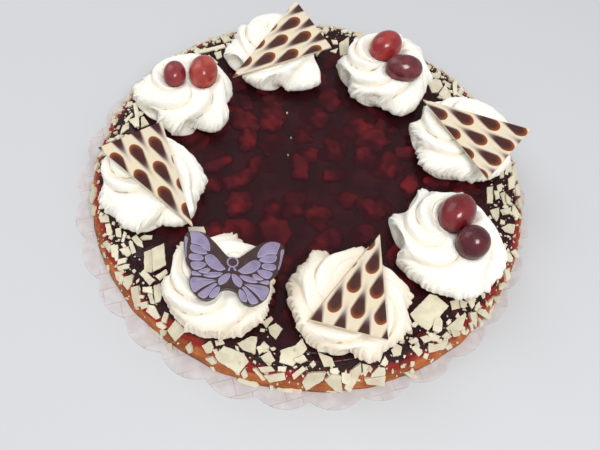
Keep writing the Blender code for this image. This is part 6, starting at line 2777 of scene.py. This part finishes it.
    def carrier(self) -> bpy.types.Object:
        """Return the surface that loose flakes lie on.

        Returns:
            The surface without what the cream covers, with the share of flakes kept on each face.
        """
        angle = directions(self.bed_steps)
        rings = [FORM.ring(angle, radius * MM, FORM.jelly_top) for radius in self.bed_radii]
        rings += [FORM.side_ring(angle, degrees, self.lift) for degrees in self.bed_levels]
        mesh = turned_mesh("flake_bed", np.array(rings), closed=False)
        body = bmesh.new()
        body.from_mesh(mesh)
        covered = [
            face for face in body.faces
            if any((face.calc_center_median().to_2d() - swirl.middle()).length
                   < self.cream_share * swirl.mean_reach() for swirl in SWIRLS)
        ]
        bmesh.ops.delete(body, geom=covered, context="FACES")
        body.to_mesh(mesh)
        body.free()
        mark(mesh, "cover", "FACE", [self.cover(Vector(face.center)) for face in mesh.polygons])
        return new_object("flake_bed", mesh)

    def build(self) -> None:
        """Build the large flakes and scatter the small ones."""
        ivory = IvoryChocolate().material()
        settle("top_flakes", self.top_flakes().mesh("top_flakes"), Slot.IVORY, ivory)
        settle("side_flakes", self.side_flakes().mesh("side_flakes"), Slot.IVORY, ivory)
        for length, thickness, scatter in (
            (self.chip_length, self.chip_thickness, self.chips),
            (self.crumb_length, self.crumb_thickness, self.crumbs),
        ):
            kinds = self.kinds(length, thickness, scatter.seed + 1)
            settle(scatter.name, scatter.spread(self.carrier(), kinds, ivory), Slot.IVORY)


# ---------------------------------------------------------------- studio


@dataclass
class Studio:
    """A pale floor, soft light and the camera at the photograph's viewing angle."""

    unit: float = 132.0 * MM
    elevation: float = math.radians(59.0)
    roll: float = 0.1475
    distance_units: float = 3.013
    target_units: tuple = (-0.003, -0.206)
    focal_pixels: float = 673.0
    picture_width: float = 600.0
    sensor: float = 36.0
    nearest: float = 0.01
    floor_size: float = 6.0
    floor_colour: Colour = tone(203, 204, 206)
    sky_colour: Colour = (0.93, 0.96, 1.0, 1.0)
    sky_strength: float = 0.6

    def camera(self) -> None:
        """Place the camera."""
        ahead = Vector((0.0, math.cos(self.elevation), -math.sin(self.elevation)))
        right = Vector((1.0, 0.0, 0.0))
        up = right.cross(ahead)
        rolled_right = right * math.cos(self.roll) + up * math.sin(self.roll)
        rolled_up = up * math.cos(self.roll) - right * math.sin(self.roll)
        target = Vector((*self.target_units, 0.0)) * self.unit
        place = Matrix((rolled_right, rolled_up, -ahead)).transposed().to_4x4()
        place.translation = target - ahead * (self.distance_units * self.unit)
        lens = bpy.data.cameras.new("camera")
        lens.sensor_width = self.sensor
        lens.lens = self.focal_pixels / self.picture_width * self.sensor
        lens.clip_start = self.nearest
        camera = bpy.data.objects.new("camera", lens)
        bpy.context.scene.collection.objects.link(camera)
        camera.matrix_world = place
        bpy.context.scene.camera = camera

    def lamp(self, name: str, spot: tuple, size: float, power: float, colour: tuple) -> None:
        """Add a square soft light that points at the tart.

        Args:
            name: The light's name.
            spot: Its place in metres.
            size: Its side in metres.
            power: Its power in watts.
            colour: Its colour.
        """
        light = bpy.data.lights.new(name, "AREA")
        light.shape = "SQUARE"
        light.size = size
        light.energy = power
        light.color = colour
        lamp = bpy.data.objects.new(name, light)
        bpy.context.scene.collection.objects.link(lamp)
        lamp.location = spot
        lamp.rotation_euler = (-Vector(spot)).to_track_quat("-Z", "Y").to_euler()

    def floor(self) -> None:
        """Lay the floor."""
        half = 0.5 * self.floor_size
        corners = [(-half, -half, 0.0), (half, -half, 0.0), (half, half, 0.0), (-half, half, 0.0)]
        floor = new_object("floor", mesh_of("floor", corners, [(0, 1, 2, 3)], False))
        paint = Paint("pale_floor", Base_Color=self.floor_colour, Roughness=0.7)
        floor.data.materials.append(paint.material)

    def build(self) -> None:
        """Set up floor, light, world and camera."""
        self.floor()
        self.camera()
        world = bpy.data.worlds.new("studio")
        world.use_nodes = True
        sky = world.node_tree.nodes["Background"]
        sky.inputs["Color"].default_value = self.sky_colour
        sky.inputs["Strength"].default_value = self.sky_strength
        bpy.context.scene.world = world
        self.lamp("key", spot=(0.28, -0.55, 1.05), size=0.35, power=8.2, colour=(1.0, 0.98, 0.95))
        self.lamp("fill", spot=(-0.8, 0.5, 0.9), size=0.9, power=4.2, colour=(0.96, 0.98, 1.0))
        view = bpy.context.scene.view_settings
        view.view_transform = "Standard"
        view.look = "None"
        view.exposure = 0.0


def main() -> None:
    """Build every piece in order and report it."""
    logging.basicConfig(level=logging.INFO, format="%(name)s: %(message)s")
    CakePaper().build()
    FlanBase().build()
    CherryFilling().build()
    piping = CreamPiping()
    # Two copies of one cream, the second with much more painted shade on its skirt.
    white = CreamFinish("whipped_cream", skirt_shade=0.3).material()
    shaded_cream = CreamFinish("creamy_whipped_cream", skirt_shade=0.95).material()
    for swirl in SWIRLS:
        piping.build(swirl, shaded_cream if swirl.name in SHADED_SWIRLS else white)
    GrapeBunch().build()
    ChocolatePlates().build()
    Flakes().build()
    Studio().build()


if __name__ == "__main__":
    main()
